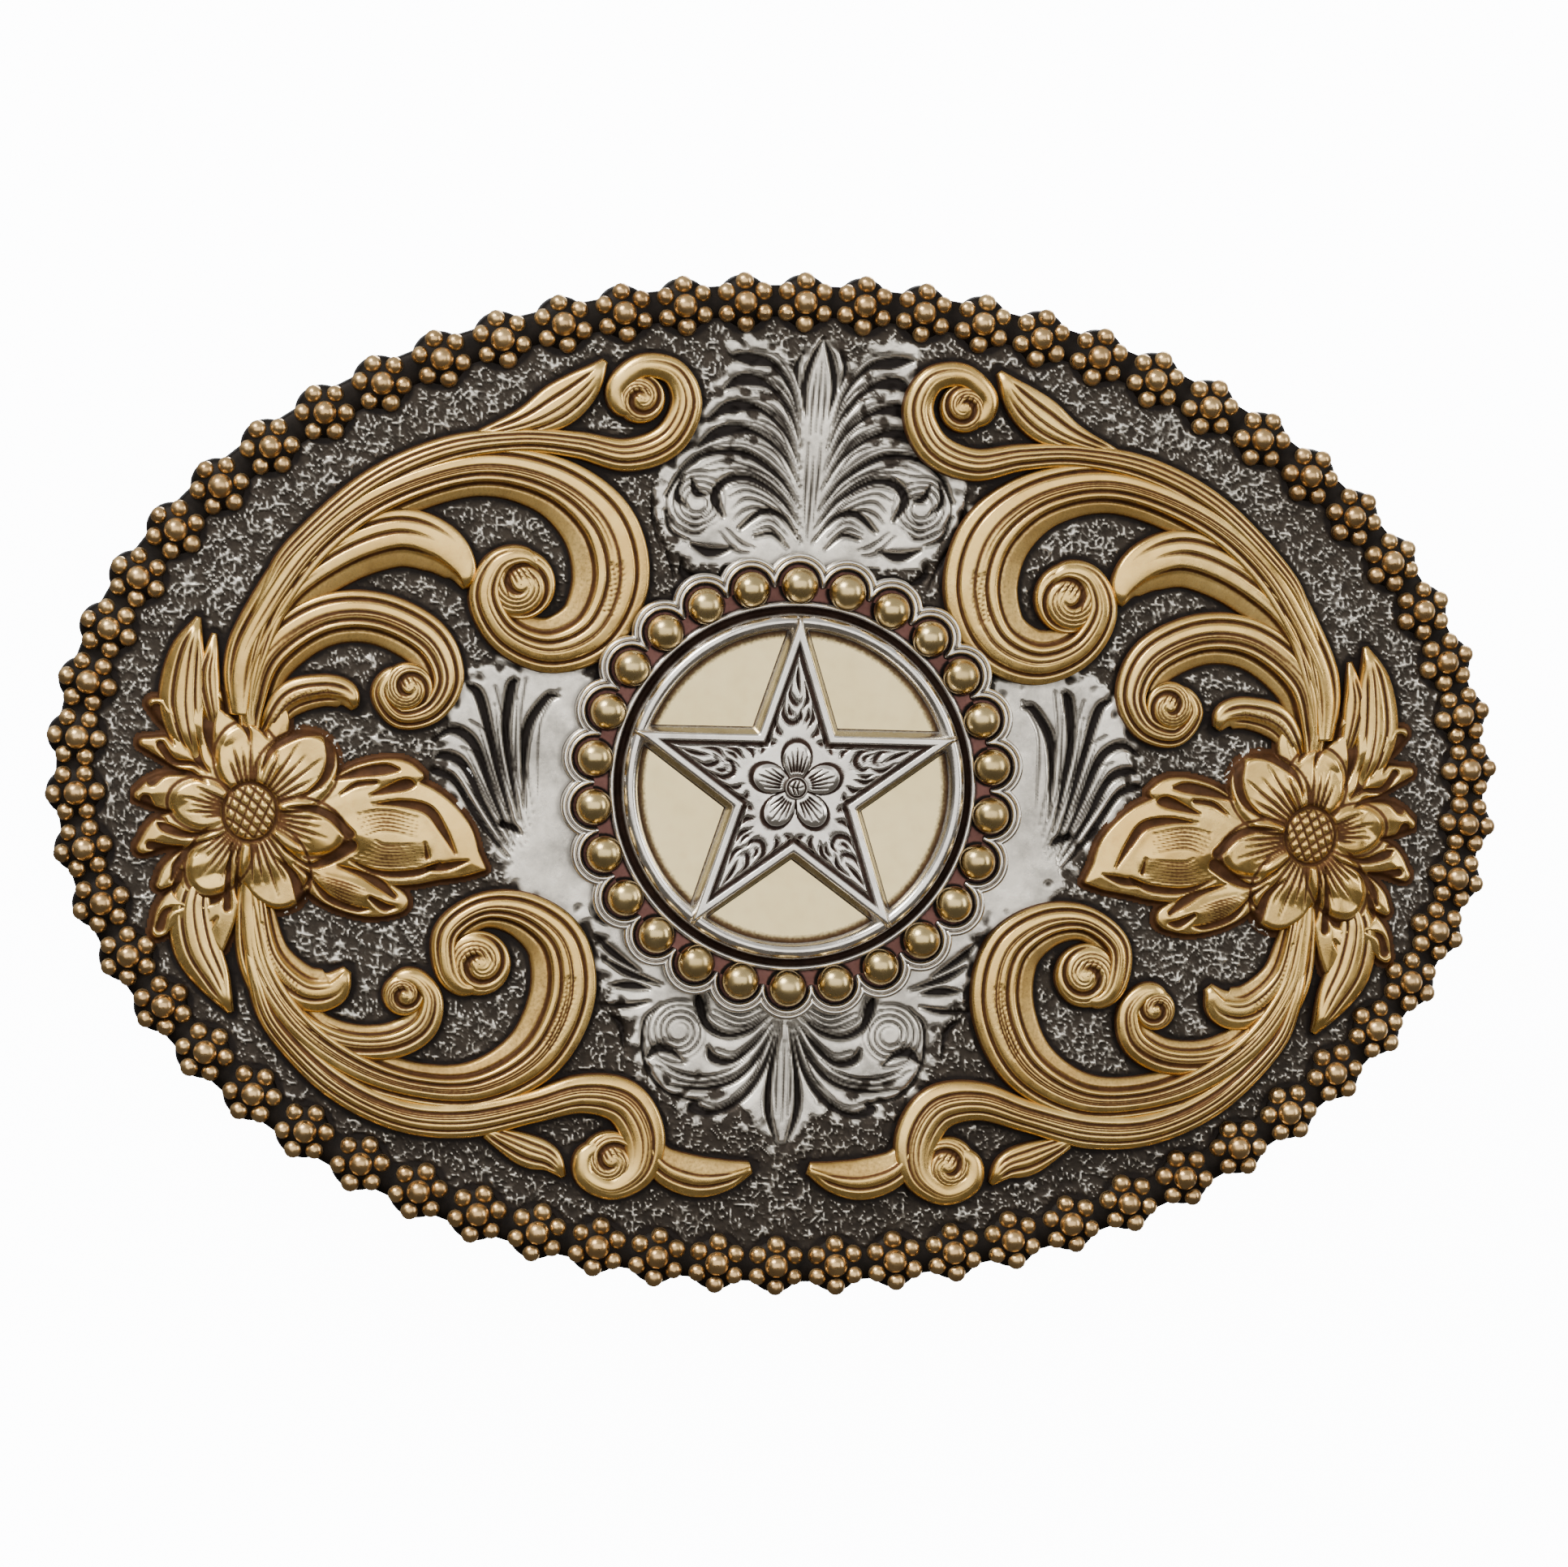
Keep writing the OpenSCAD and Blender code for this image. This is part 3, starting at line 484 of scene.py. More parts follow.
PETAL_CUTS = [
    [[-39.7, 4.3, 0.9], [-39.8, 2.6, 0.7], [-39.5, 1.2, 0.25], [-39.2, 0.4, 0.05]],
    [[-39.6, 4.8, 0.5], [-38, 3.8, 0.6], [-37.2, 2.8, 0.35], [-37, 1.9, 0.05]],
    [[-37.1, 4.1, 0.9], [-36.4, 3.3, 0.6], [-35.8, 2.3, 0.1]],
    [[-36.2, 0.1, 0.1], [-35.6, 1.4, 0.4], [-34.6, 2.2, 0.55], [-33.4, 2.7, 0.55], [-32, 2.7, 0.3]],
    [[-31.7, 2.4, 0.6], [-31.5, 0.9, 0.65], [-32, -0.5, 0.5], [-33.4, -1.7, 0.1]],
    [[-34.4, -2.4, 0.1], [-32.8, -2.4, 0.5], [-31.4, -2.9, 0.6], [-30.1, -4.1, 0.7]],
    [[-34.5, -5.2, 0.1], [-32.8, -6.3, 0.3], [-31.3, -5.8, 0.7], [-30, -4.9, 0.9]],
    [[-35, -5.9, 0.1], [-33.9, -6.9, 0.5], [-33.3, -8.4, 0.75], [-33.2, -9.4, 0.3]],
    [[-37.5, -5.4, 0.1], [-37.6, -7.8, 0.35], [-36.9, -9.2, 0.45], [-35, -9.6, 0.4], [-33.8, -9.5, 0.15]],
    [[-38, -5, 0.1], [-38.2, -7.3, 0.4], [-38.2, -9.4, 0.55]],
    [[-41.4, -7, 0.4], [-41.6, -8.3, 0.65], [-40.5, -9, 0.7], [-39, -8.9, 0.45], [-38.3, -8.3, 0.1]],
    [[-38.9, -4.5, 0.05], [-40.7, -5.3, 0.35], [-41.6, -6.5, 0.55], [-42, -7.6, 0.2]],
    [[-39.1, -4.1, 0.05], [-40.8, -4.5, 0.4], [-42.4, -4.1, 0.65], [-43, -3.8, 0.2]],
    [[-43.9, -2.2, 0.75], [-43.2, -3.2, 0.5], [-42.5, -3.6, 0.1]],
    [[-43.5, -0.9, 0.7], [-42.6, -0.3, 0.55], [-41, -0.3, 0.4], [-39.8, -0.9, 0.05]],
    [[-40.8, 1.8, 0.75], [-40.4, 0.6, 0.5], [-39.7, -0.2, 0.1]],
    [[-43, 1.6, 0.55], [-42.1, 0.5, 0.45], [-40.8, 0.4, 0.3], [-40.2, 0, 0.05]],
    [[-43.3, 4, 0.85], [-42.6, 2.5, 0.45], [-42.1, 1.6, 0.05]],
    [[-42.1, 5.4, 0.3], [-42, 4, 0.35], [-41.5, 2.2, 0.3], [-41.2, 1.4, 0.05]],
    [[-41.4, 5.2, 0.2], [-41.3, 3.8, 0.22], [-41.2, 2.4, 0.05]],
    [[-43.5, -5.3, 0.6], [-42.2, -5.5, 0.55], [-41.2, -5.3, 0.1]],
    [[-42.7, -10.9, 0.65], [-42.3, -9.8, 0.45], [-41.2, -9.4, 0.1]],
    [[-41.9, -11.3, 0.5], [-41, -10.6, 0.55], [-39.6, -9.7, 0.1]],
    [[-40.1, -12.6, 0.4], [-39.8, -11.4, 0.35], [-38.9, -10.1, 0.1]],
]
BUD_CUTS = [
    [[-31.2, -0.4, 0.1], [-29.6, 0.1, 0.6], [-27.9, 0.4, 0.75], [-26.9, 0.4, 0.2]],
    [[-30.8, -1.4, 0.1], [-29.7, -0.7, 0.35], [-28.4, -0.5, 0.3]],
    [[-28.8, -1.4, 0.1], [-27.6, -1, 0.5], [-26.4, -0.6, 0.8], [-25.8, -0.6, 0.2]],
    [[-28.6, -2, 0.05], [-26.5, -1.9, 0.5], [-24.8, -2.3, 0.65], [-23.8, -3.6, 0.5], [-22.9, -5.2, 0.1]],
    [[-30, -5.9, 0.1], [-28, -6.7, 0.4], [-25.5, -6.6, 0.5], [-23.9, -5.9, 0.15]],
    [[-24.7, -6.3, 0.3], [-23.4, -6.1, 0.55], [-22, -5.7, 0.1]], [[-25, -4.5, 0.08], [-24.8, -5.5, 0.3]],
    [[-32.6, -7.2, 0.1], [-31.4, -8.5, 0.45], [-29.6, -9.2, 0.4], [-28.6, -9.2, 0.1]],
    [[-30.8, -6.3, 0.1], [-29.2, -6.8, 0.4], [-28, -7.4, 0.65], [-26.9, -8.3, 0.3]],
    [[-28.6, -8.4, 0.3], [-27.6, -9, 0.55], [-26.9, -9, 0.2]],
    [[-33.2, -8, 0.1], [-32.7, -7.1, 0.3], [-33.8, -6.2, 0.1]],
]
BUD_HATCH = (
    [[[-29.7 + 0.12 * k, -2.75 - 0.27 * k, 0.04], [-27.7, -2.4 - 0.26 * k, 0.15],
      [-25.5, -2.85 - 0.24 * k, 0.04]] for k in range(6)]
    + [[[-29.9 + 0.25 * k, -5.9 + 0.24 * k, 0.04], [-27.5, -6.2 + 0.24 * k, 0.16],
        [-25.1 + 0.05 * k, -6 + 0.24 * k, 0.04]] for k in range(7)]
    + [[[-32.4 + 0.16 * k, -6.9 - 0.2 * k, 0.04], [-30.4, -7.4 - 0.24 * k, 0.16],
        [-28.9 - 0.05 * k, -7.9 - 0.22 * k, 0.04]] for k in range(6)]
)


def flower_middle(work, dx, dz):
    """The oval middle of a flower: a dark ring round a cross-hatched dome."""
    r = np.hypot(dx / 0.97, dz / 1.06)
    middle = smooth(2.1, 1.95, r)
    work.height = work.height * (1 - middle) + middle * (1.55 + 0.22 * (1 - (r / 1.95) ** 2))
    work.cut = work.cut * (1 - middle)
    ring = bell(r - 1.88, 0.17)
    lines = np.zeros(dx.shape)
    for slope, offset in ((2.6, 0.0), (-0.85, 0.2)):
        away = (dz - slope * dx + 0.12 * dx ** 2) / math.hypot(1, slope) + offset
        lines = np.maximum(lines, bell((away % 0.62) - 0.31, 0.1))
    lines = lines * smooth(1.8, 1.65, r)
    work.height -= 0.3 * ring + 0.16 * lines
    work.darken(np.maximum(ring, lines))


def flower(side):
    """The wild rose with its calyx and leafy bud, one carved overlay."""
    fx, fz = FLOWER_AT
    across, up = np.arange(-44.9, -20.3, FLOWER_CELL), np.arange(-13.2, 6.8, FLOWER_CELL)
    x, z = np.meshgrid(across, up, indexing="ij")
    inside = oval_within(x, z, fx, fz, FLOWER_R, FLOWER_R, 0)
    for stroke in CALYX + BUD:
        inside = np.maximum(inside, within(x, z, stroke))
    work = Carving(x, z, 1.18)
    work.height += 0.25 * smooth(0, 1.6, inside)
    for angle, reach, width in PETALS:
        c, s = math.cos(math.radians(angle)), math.sin(math.radians(angle))
        mid = (reach + 1.0) / 2
        petal = oval_within(x, z, fx + c * mid, fz + s * mid, (reach - 1.0) / 2, width / 2, angle)
        inside = np.maximum(inside, petal)
        work.height += 0.3 * smooth(0, 0.42, petal)
        work.cut = np.maximum(work.cut * smooth(0.5, 0.1, petal), 0.95 * bell(petal + 0.05, 0.13))
        for k in range(6):
            fan = math.radians(angle + (k - 2.5) * 7.2 * width / 4.2)
            far = 0.86 * reach - 0.34 * abs(k - 2.5) - 0.7 * (k % 2)
            work.gouge([[fx + r * math.cos(fan), fz + r * math.sin(fan), w]
                        for r, w in ((2.0, 0.26), (0.5 * (2.0 + far), 0.22), (far, 0.03))], 0.13, 0.06, 0.9)
    work.mound([[-30, -4, 2.5], [-27.3, -4.4, 4.4], [-25.4, -4.6, 2.5]], 0.35, 1.8)
    work.mound([[-31.6, -7.4, 1.5], [-29.4, -8, 1.8], [-28, -8.3, 1]], 0.2, 0.8)
    for cuts, depth, soft, dark in ((PETAL_CUTS, 0.34, 0.09, 1.0), (BUD_CUTS, 0.3, 0.09, 1.0),
                                    (BUD_HATCH, 0.1, 0.07, 0.9)):
        for points in cuts:
            work.gouge(points, depth, soft, dark)
    flower_middle(work, x - fx, z - fz)
    shape = Shape()
    patch(shape, work, inside, GOLD_FOOT, on_plate, mirror=-side)
    return shape


# ---------------------------------------------------------------- engraved silver leaves
def fine(*lines):
    """Gouges for hair lines through [x, z] points: slender, and pointed at both ends."""
    return [[[x, z, 0.17 if 0 < n < len(line) - 1 else 0.05] for n, (x, z) in enumerate(line)]
            for line in lines]


# Gouges of the left half, [x, z, width], measured from each spray's own middle line
TOP_CUTS = [
    [[-1.1, 24.6, 0.05], [-1.9, 27, 0.3], [-3.3, 28.7, 0.45], [-4.9, 29.1, 1], [-6.3, 29.3, 0.2]],
    [[-0.9, 23, 0.05], [-1.8, 25.4, 0.3], [-3.4, 27.2, 0.4], [-5.2, 27.7, 1], [-6.6, 27, 0.15]],
    [[-0.8, 21.5, 0.05], [-2, 24, 0.3], [-3.9, 25.6, 0.4], [-5.9, 25.8, 1], [-7.5, 24.9, 0.15]],
    [[-0.7, 20.2, 0.05], [-2.1, 22.6, 0.3], [-4.3, 24.1, 0.4], [-6.4, 24.1, 1], [-8.1, 23, 0.15]],
    [[-0.6, 18.8, 0.05], [-2.2, 21, 0.35], [-4.8, 22.6, 0.5], [-7.4, 22.5, 0.4], [-8.9, 21.4, 0.3],
     [-9.9, 19.6, 0.25]],
    [[-0.5, 17.6, 0.05], [-2, 19.6, 0.35], [-4.2, 20.9, 0.5], [-5.9, 20.7, 0.6], [-6.6, 19.6, 0.7],
     [-5.9, 18.3, 0.2]],
    [[-0.4, 16.6, 0.05], [-1.7, 18.3, 0.35], [-3.2, 18.7, 0.55], [-4.7, 17.5, 0.2]],
    [[-1.3, 16.2, 0.05], [-2.4, 17.2, 0.3], [-3.6, 17, 0.2]],
    [[-7.9, 16.3, 0.2], [-6.5, 15.8, 0.75], [-5, 16.2, 0.1]],
    [[-8.5, 15.3, 0.1], [-8.3, 14.4, 0.65], [-7.2, 13.9, 0.1]],
    [[-9.9, 18.6, 0.2], [-9.4, 17.2, 0.3], [-8.2, 16.6, 0.1]],
    [[-8.9, 21, 0.2], [-9.2, 19.6, 0.45], [-8.5, 18.9, 0.15]],
    [[-8.3, 20.9, 0.1], [-7.9, 19.9, 0.55], [-7.2, 19.7, 0.2]],
    [[-10.9, 20.2, 0.1], [-10.7, 18.2, 0.3], [-9.9, 15.9, 0.1]],
    [[-9.9, 16.4, 0.1], [-9.2, 15, 0.3], [-8.8, 13.8, 0.1]],
    [[-0.75, 25.2, 0.05], [-1.05, 27.3, 0.5], [-0.65, 29.2, 0.45], [0, 30.7, 0.1]],
    [[-1.4, 27.2, 0.1], [-1.7, 28.6, 0.4], [-1.3, 29.8, 0.1]],
]
TOP_LINES = fine(
    [[0, 24.2], [0, 26.5], [0, 29]], [[-0.36, 24], [-0.42, 26.4], [-0.3, 28.6]],
    [[0, 16.8], [0, 19.5], [0, 22.5]], [[-0.3, 18], [-0.4, 21], [-0.45, 23.4]],
    [[-1.5, 24.2], [-2.6, 26.2], [-4.6, 27]], [[-1.2, 24.8], [-2.2, 26.8], [-3.9, 28]],
    [[-1.5, 22.4], [-2.7, 24.4], [-4.9, 25.2]], [[-1.3, 23], [-2.4, 25], [-4.3, 26.2]],
    [[-1.4, 20.9], [-2.9, 22.9], [-5.4, 23.7]], [[-1.2, 21.4], [-2.5, 23.5], [-4.6, 24.7]],
    [[-1.3, 19.5], [-2.9, 21.1], [-5.8, 22.1], [-7.6, 21.6]],
    [[-1.1, 18.9], [-2.8, 20.6], [-4.9, 21.6], [-7, 21.3]],
    [[-1.2, 18], [-2.6, 19.4], [-4.4, 20.1], [-5.6, 19.6]],
    [[-1.4, 17.7], [-2.9, 19.1], [-4.4, 19.5], [-5.3, 18.8]],
    [[-1.5, 18.7], [-3, 20], [-4.6, 20.6], [-5.9, 20.3]],
    [[-1.9, 17.8], [-3.3, 18.9], [-4.5, 18.7], [-5.2, 18]], [[-1.3, 17], [-2.6, 18.1], [-3.9, 17.6]],
    [[-1.6, 16.8], [-2.7, 17.6], [-3.8, 17.3]], [[-5.6, 17.4], [-4.5, 16.5], [-3.6, 16.2]],
    [[-6.1, 17.2], [-4.9, 16], [-3.9, 15.8]], [[-6.9, 18.2], [-7.7, 17.5], [-8.7, 17.9]],
    [[-6.6, 17.8], [-7.7, 17.1], [-9, 17.6]], [[-7, 18.7], [-7.7, 18.1], [-8.4, 18.4]],
)
TOP_LINES[2][1][2] = 0.2              # the middle vein is a little broader
BOTTOM_CUTS = [
    [[-0.25, -16.4, 0.05], [-0.9, -19.8, 0.45], [-1, -22.4, 0.55], [-0.3, -24.8, 0.1]],
    [[-0.5, -16.6, 0.05], [-1.4, -19.6, 0.4], [-2.9, -21.7, 0.5], [-4.8, -22.7, 0.5],
     [-6.2, -22.3, 0.8], [-5.8, -21.9, 0.1]],
    [[-0.6, -16.4, 0.05], [-1.8, -18.8, 0.35], [-3.4, -20.4, 0.4], [-5.5, -21, 0.35], [-8, -20.8, 0.15]],
    [[-0.8, -16.2, 0.05], [-2.2, -18, 0.35], [-3.6, -19.1, 0.45], [-4.9, -18.9, 0.6], [-5.3, -18.1, 0.1]],
    [[-1, -15.8, 0.05], [-2.4, -16.9, 0.35], [-4, -17.3, 0.4], [-5.4, -16.6, 0.55],
     [-5.9, -15.2, 0.8], [-6.1, -14.5, 0.2]],
    [[-9.4, -18.9, 0.3], [-8.7, -18.3, 0.75], [-7.7, -18.5, 0.45], [-6.9, -19.2, 0.1]],
    [[-8.6, -15.2, 0.1], [-9.7, -16.5, 0.28], [-9.6, -19.2, 0.3], [-8.2, -21.2, 0.3], [-5.8, -21.9, 0.2]],
    [[-9.4, -14.2, 0.1], [-10.7, -14, 0.65], [-12.2, -14, 0.1]],
    [[-12.2, -16, 0.1], [-11.3, -16.8, 0.55], [-11, -18.7, 0.1]],
    [[-12.7, -15.4, 0.2], [-10.9, -15.4, 0.4], [-9.4, -15.1, 0.1]],
    [[-12.5, -12.3, 0.2], [-10.8, -13.2, 0.5], [-8.6, -13.9, 0.1]],
    [[-13.2, -10.6, 0.1], [-12.1, -11.7, 0.55], [-10.2, -13, 0.2]],
]
BOTTOM_LINES = fine(
    [[0, -17.6], [0, -20.5], [0, -23.2]], [[-0.4, -18.2], [-0.5, -20.8], [-0.4, -22.8]],
    [[-1.5, -15.6], [-3.1, -16.3], [-5, -15.6]], [[-1.7, -15.3], [-3.1, -15.8], [-4.7, -15.2]],
    [[-1.3, -16.1], [-3.1, -16.7], [-5, -16]], [[-2.4, -18.7], [-4, -19.8], [-6.2, -20.2], [-8.4, -19.6]],
    [[-3.2, -19.4], [-5, -20.1], [-7.2, -19.9], [-8.9, -18.9]],
    [[-2.8, -19.6], [-4.4, -20.4], [-7, -20.5], [-8.9, -19.5]], [[-1.1, -17.6], [-2.1, -20], [-3.6, -21.6]],
)
SIDE_CUTS = [
    [[-19.2, -5.4, 0.1], [-21.3, -2.9, 0.35], [-22.9, -0.4, 0.4], [-24.2, 0.3, 0.5], [-24.6, 0.2, 0.1]],
    [[-19, -5, 0.05], [-20.9, -2, 0.35], [-22.4, 0.8, 0.5], [-23.8, 1.4, 0.5], [-24.4, 1.2, 0.1]],
    [[-18.9, -4.6, 0.05], [-20.4, -1, 0.35], [-21.7, 2.2, 0.55], [-23.2, 3.2, 0.45], [-24.5, 2.5, 0.2]],
    [[-18.7, -4, 0.05], [-19.9, 0, 0.35], [-20.7, 3, 0.45], [-21.5, 5.6, 0.55], [-22.3, 6.3, 0.2]],
    [[-18.5, -3, 0.05], [-19.2, 0.6, 0.35], [-19.6, 3.4, 0.5], [-19.3, 6.2, 0.55], [-18.9, 6.7, 0.1]],
    [[-18.2, -2, 0.05], [-18.3, 1, 0.3], [-18.1, 3.5, 0.55], [-16.9, 5.5, 0.45], [-16.1, 5.7, 0.1]],
    [[-19.7, -3.2, 0.4], [-18.9, -3.4, 0.45], [-18.4, -3.8, 0.1]],
]
SIDE_LINES = fine(
    [[-19.6, -4.4], [-21.2, -1.8], [-22.8, 0.5]], [[-19.6, -3.4], [-21, -0.6], [-22.3, 1.9]],
    [[-19.3, -2.8], [-20.5, 0.6], [-21.5, 3.6]], [[-19.1, -1.4], [-19.9, 1.6], [-20.4, 5]],
    [[-18.7, -0.6], [-18.9, 2], [-18.9, 5.4]], [[-20, -4.3], [-21.9, -1.6], [-23.5, 0.1]],
)
# The two curled volutes: 1 for the upper spray or -1 for the lower, z, x, and where the curl begins
VOLUTES = [[-1, -17.1, -7.3, 0.5], [1, 19.2, -7.7, 0.4]]
VOLUTE_R = 2.9
VOLUTE_PITCH = 0.42
# Where the silver is left plain for them: [x, z, width]
TOP_PLAIN = [[0, 15, 16], [0, 17, 18.6], [0, 19, 17], [0, 21, 11], [0, 24, 7.6], [0, 27, 5.6],
             [0, 29.3, 3], [0, 30.6, 1]]
BOTTOM_PLAIN = [[0, -9.5, 26], [0, -13, 25.5], [0, -16, 22], [0, -19, 15], [0, -21, 8], [0, -22.8, 4],
                [0, -24.6, 1]]
SIDE_PLAIN = [[-17.4, -5, 2.4], [-19.4, -2.4, 3.6], [-21, 0.8, 6], [-20.6, 3.8, 6], [-20.2, 6, 3.6]]


# ---------------------------------------------------------------- outlines the ground runs up to
def oval_inset(x, z):
    """How far a point lies inside the oval outline, near enough close to it."""
    f = np.hypot(x / HALF_W, z / HALF_H)
    slope = np.hypot(x / HALF_W ** 2, z / HALF_H ** 2) / np.maximum(f, 1e-6)
    return (1 - f) / np.maximum(slope, 1e-6)


def lobe_angle(theta):
    """Angle from the middle of the nearest lobe of the concho."""
    step = 2 * math.pi / PEARL_COUNT
    return (theta + step / 2) % step - step / 2


def lobed_r(theta, inset):
    """Radius of the concho's scalloped outline at an angle from the top, inset by so much."""
    phi = lobe_angle(theta)
    root = np.maximum((LOBE_R - inset) ** 2 - (PEARL_RING_R * np.sin(phi)) ** 2, 0)
    return PEARL_RING_R * np.cos(phi) + np.sqrt(root)


def edge_points(t, inset):
    """Plan point and outward normal of the oval's edge at a share t of its run, from the top."""
    stretch = (HALF_W ** 2 - HALF_H ** 2) / (HALF_W ** 2 + HALF_H ** 2)
    a = 2 * math.pi * t - stretch / 4 * np.sin(4 * math.pi * t)
    n = np.stack([np.sin(a) / HALF_W, np.cos(a) / HALF_H], -1)
    n /= np.linalg.norm(n, axis=-1, keepdims=True)
    return HALF_W * np.sin(a) - n[..., 0] * inset, HALF_H * np.cos(a) - n[..., 1] * inset, n


# ---------------------------------------------------------------- stippled ground
def worm_noise(shape2d, cell, pitch, seed):
    """A field of wandering worm-like ridges about one pitch apart, with unit spread."""
    noise = np.random.default_rng(seed).normal(size=shape2d)
    fx = np.fft.fftfreq(shape2d[0], cell)[:, None]
    fz = np.fft.fftfreq(shape2d[1], cell)[None, :]
    ring = np.exp(-((np.hypot(fx, fz) - 1 / pitch) / (0.3 / pitch)) ** 2)
    field = np.fft.ifft2(np.fft.fft2(noise) * ring).real
    return field / field.std()


def resampled(coarse, x0, z0, cell, x, z):
    """Bilinear values at x, z of a coarse grid that starts at x0, z0."""
    u, v = (x - x0) / cell, (z - z0) / cell
    i = np.clip(u.astype(int), 0, coarse.shape[0] - 2)
    j = np.clip(v.astype(int), 0, coarse.shape[1] - 2)
    u, v = u - i, v - j
    return ((coarse[i, j] * (1 - u) + coarse[i + 1, j] * u) * (1 - v)
            + (coarse[i, j + 1] * (1 - u) + coarse[i + 1, j + 1] * u) * v)


GROUND_CELL = 0.1225
GROUND_X = np.arange(-48.2, 0.01, GROUND_CELL)
GROUND_Z = np.arange(-32.2, 32.3, GROUND_CELL)
WHOLE = (2 * len(GROUND_X), len(GROUND_Z))
WORMS = worm_noise(WHOLE, GROUND_CELL, 0.7, 5)
BROKEN = worm_noise(WHOLE, GROUND_CELL, 1.3, 8)
COARSE_CELL = 0.35


def wide(x, z, points):
    """Inside depth of a spray's plain patch: a stroke up its middle line whose width is the spray's."""
    rows = np.array(points, float)
    rows = rows[np.argsort(rows[:, 1])]
    inside = (z > rows[0, 1]) & (z < rows[-1, 1])
    return np.where(inside, np.interp(z, rows[:, 1], rows[:, 2]) / 2 - np.abs(x), OUTSIDE)


def neighbours(x, z):
    """Depths inside the gold overlays, the concho and the beads, from coarse grids."""
    across, up = np.arange(-48.9, 1, COARSE_CELL), np.arange(-32.9, 33, COARSE_CELL)
    cx, cz = np.meshgrid(across, up, indexing="ij")
    gold = np.full(cx.shape, OUTSIDE)
    for stroke in [band[0] for band in UPPER_BANDS + LOWER_BANDS] + CALYX + BUD:
        gold = np.maximum(gold, within_far(cx, cz, stroke))
    for ex, ez, r in UPPER_EYES + LOWER_EYES + [[*FLOWER_AT, FLOWER_R]]:
        gold = np.maximum(gold, r - np.hypot(cx - ex, cz - ez))
    disc = lobed_r(np.arctan2(cx, cz), 0) - np.hypot(cx, cz)
    beads = np.full(cx.shape, OUTSIDE)
    for i in range(BERRY_COUNT):
        bx, bz, _ = edge_points(np.array(i / BERRY_COUNT), CLUSTER_INSET)
        beads = np.maximum(beads, PETAL_BALL_AT + PETAL_BALL_R - 0.1 - np.hypot(cx - bx, cz - bz))
    return [resampled(field, cx[0, 0], cz[0, 0], COARSE_CELL, x, z) for field in (gold, disc, beads)]


def plain_silver(x, z, top_x, bottom_x, broken):
    """1 where the silver is left plain round the concho and for the sprays, else 0, with ragged edges."""
    lens = oval_within(x, z, -16.2, -0.5, 4.6, 9.5, 8)
    plain = np.maximum.reduce([lens, wide(top_x, z, TOP_PLAIN), wide(bottom_x, z, BOTTOM_PLAIN),
                               within_far(x, z, SIDE_PLAIN)])
    # each leaf of a spray is the plain silver just above its gouge
    for where, cuts, rise in ((top_x, TOP_CUTS[:7], 0.42), (bottom_x, BOTTOM_CUTS[:7], 0.5)):
        for points in cuts:
            leaf = [[a, b + rise, 0.5 + 1.2 * w] for a, b, w in points]
            plain = np.maximum(plain, within_far(where, z, leaf))
    for above, cz, cx, _ in VOLUTES:
        where = top_x if above > 0 else bottom_x
        plain = np.maximum(plain, VOLUTE_R - np.hypot(where - cx, z - cz - 0.6 * above))
    return smooth(-0.3, 0.3, plain + 0.3 * broken)


def engrave(work, where, cuts, lines, broad):
    """A spray's leaves and lines, with x measured from its middle line."""
    work.x = where
    # painted shade: a wide, shallow pass a little below each gouge darkens its lower side softly
    for points in cuts:
        work.gouge([[a, b - 0.12, 1.7 * w] for a, b, w in points], 0.08, 0.26, 0.16)
    for points in cuts:
        work.gouge([[a, b, broad * w] for a, b, w in points], 0.3, 0.09, 1.25)
    for points in lines:
        work.gouge([[a, b, 1.1 * w] for a, b, w in points], 0.14, 0.08, 1.1)
    for points in cuts[:6]:
        # two fine lines follow each long gouge
        for k in (0, 1):
            beside_it = [[a * (1 - 0.05 * k), b + 0.33 + 0.27 * k,
                          0.17 if 0 < n < len(points) - 1 else 0.03] for n, (a, b, w) in enumerate(points)]
            work.gouge(beside_it[:len(points) - k], 0.1, 0.07, 0.9)


def curl(x, z, first):
    """Distance from a volute's middle, and its curled lines, with x and z measured from that middle."""
    r = np.hypot(x, z)
    turn = np.arctan2(z, x) / (2 * math.pi)
    line = bell(((r / VOLUTE_PITCH + turn) % 1 - 0.5) * VOLUTE_PITCH, 0.08)
    return r, line * smooth(first, first + 0.2, r) * smooth(2.1, 1.7, r)


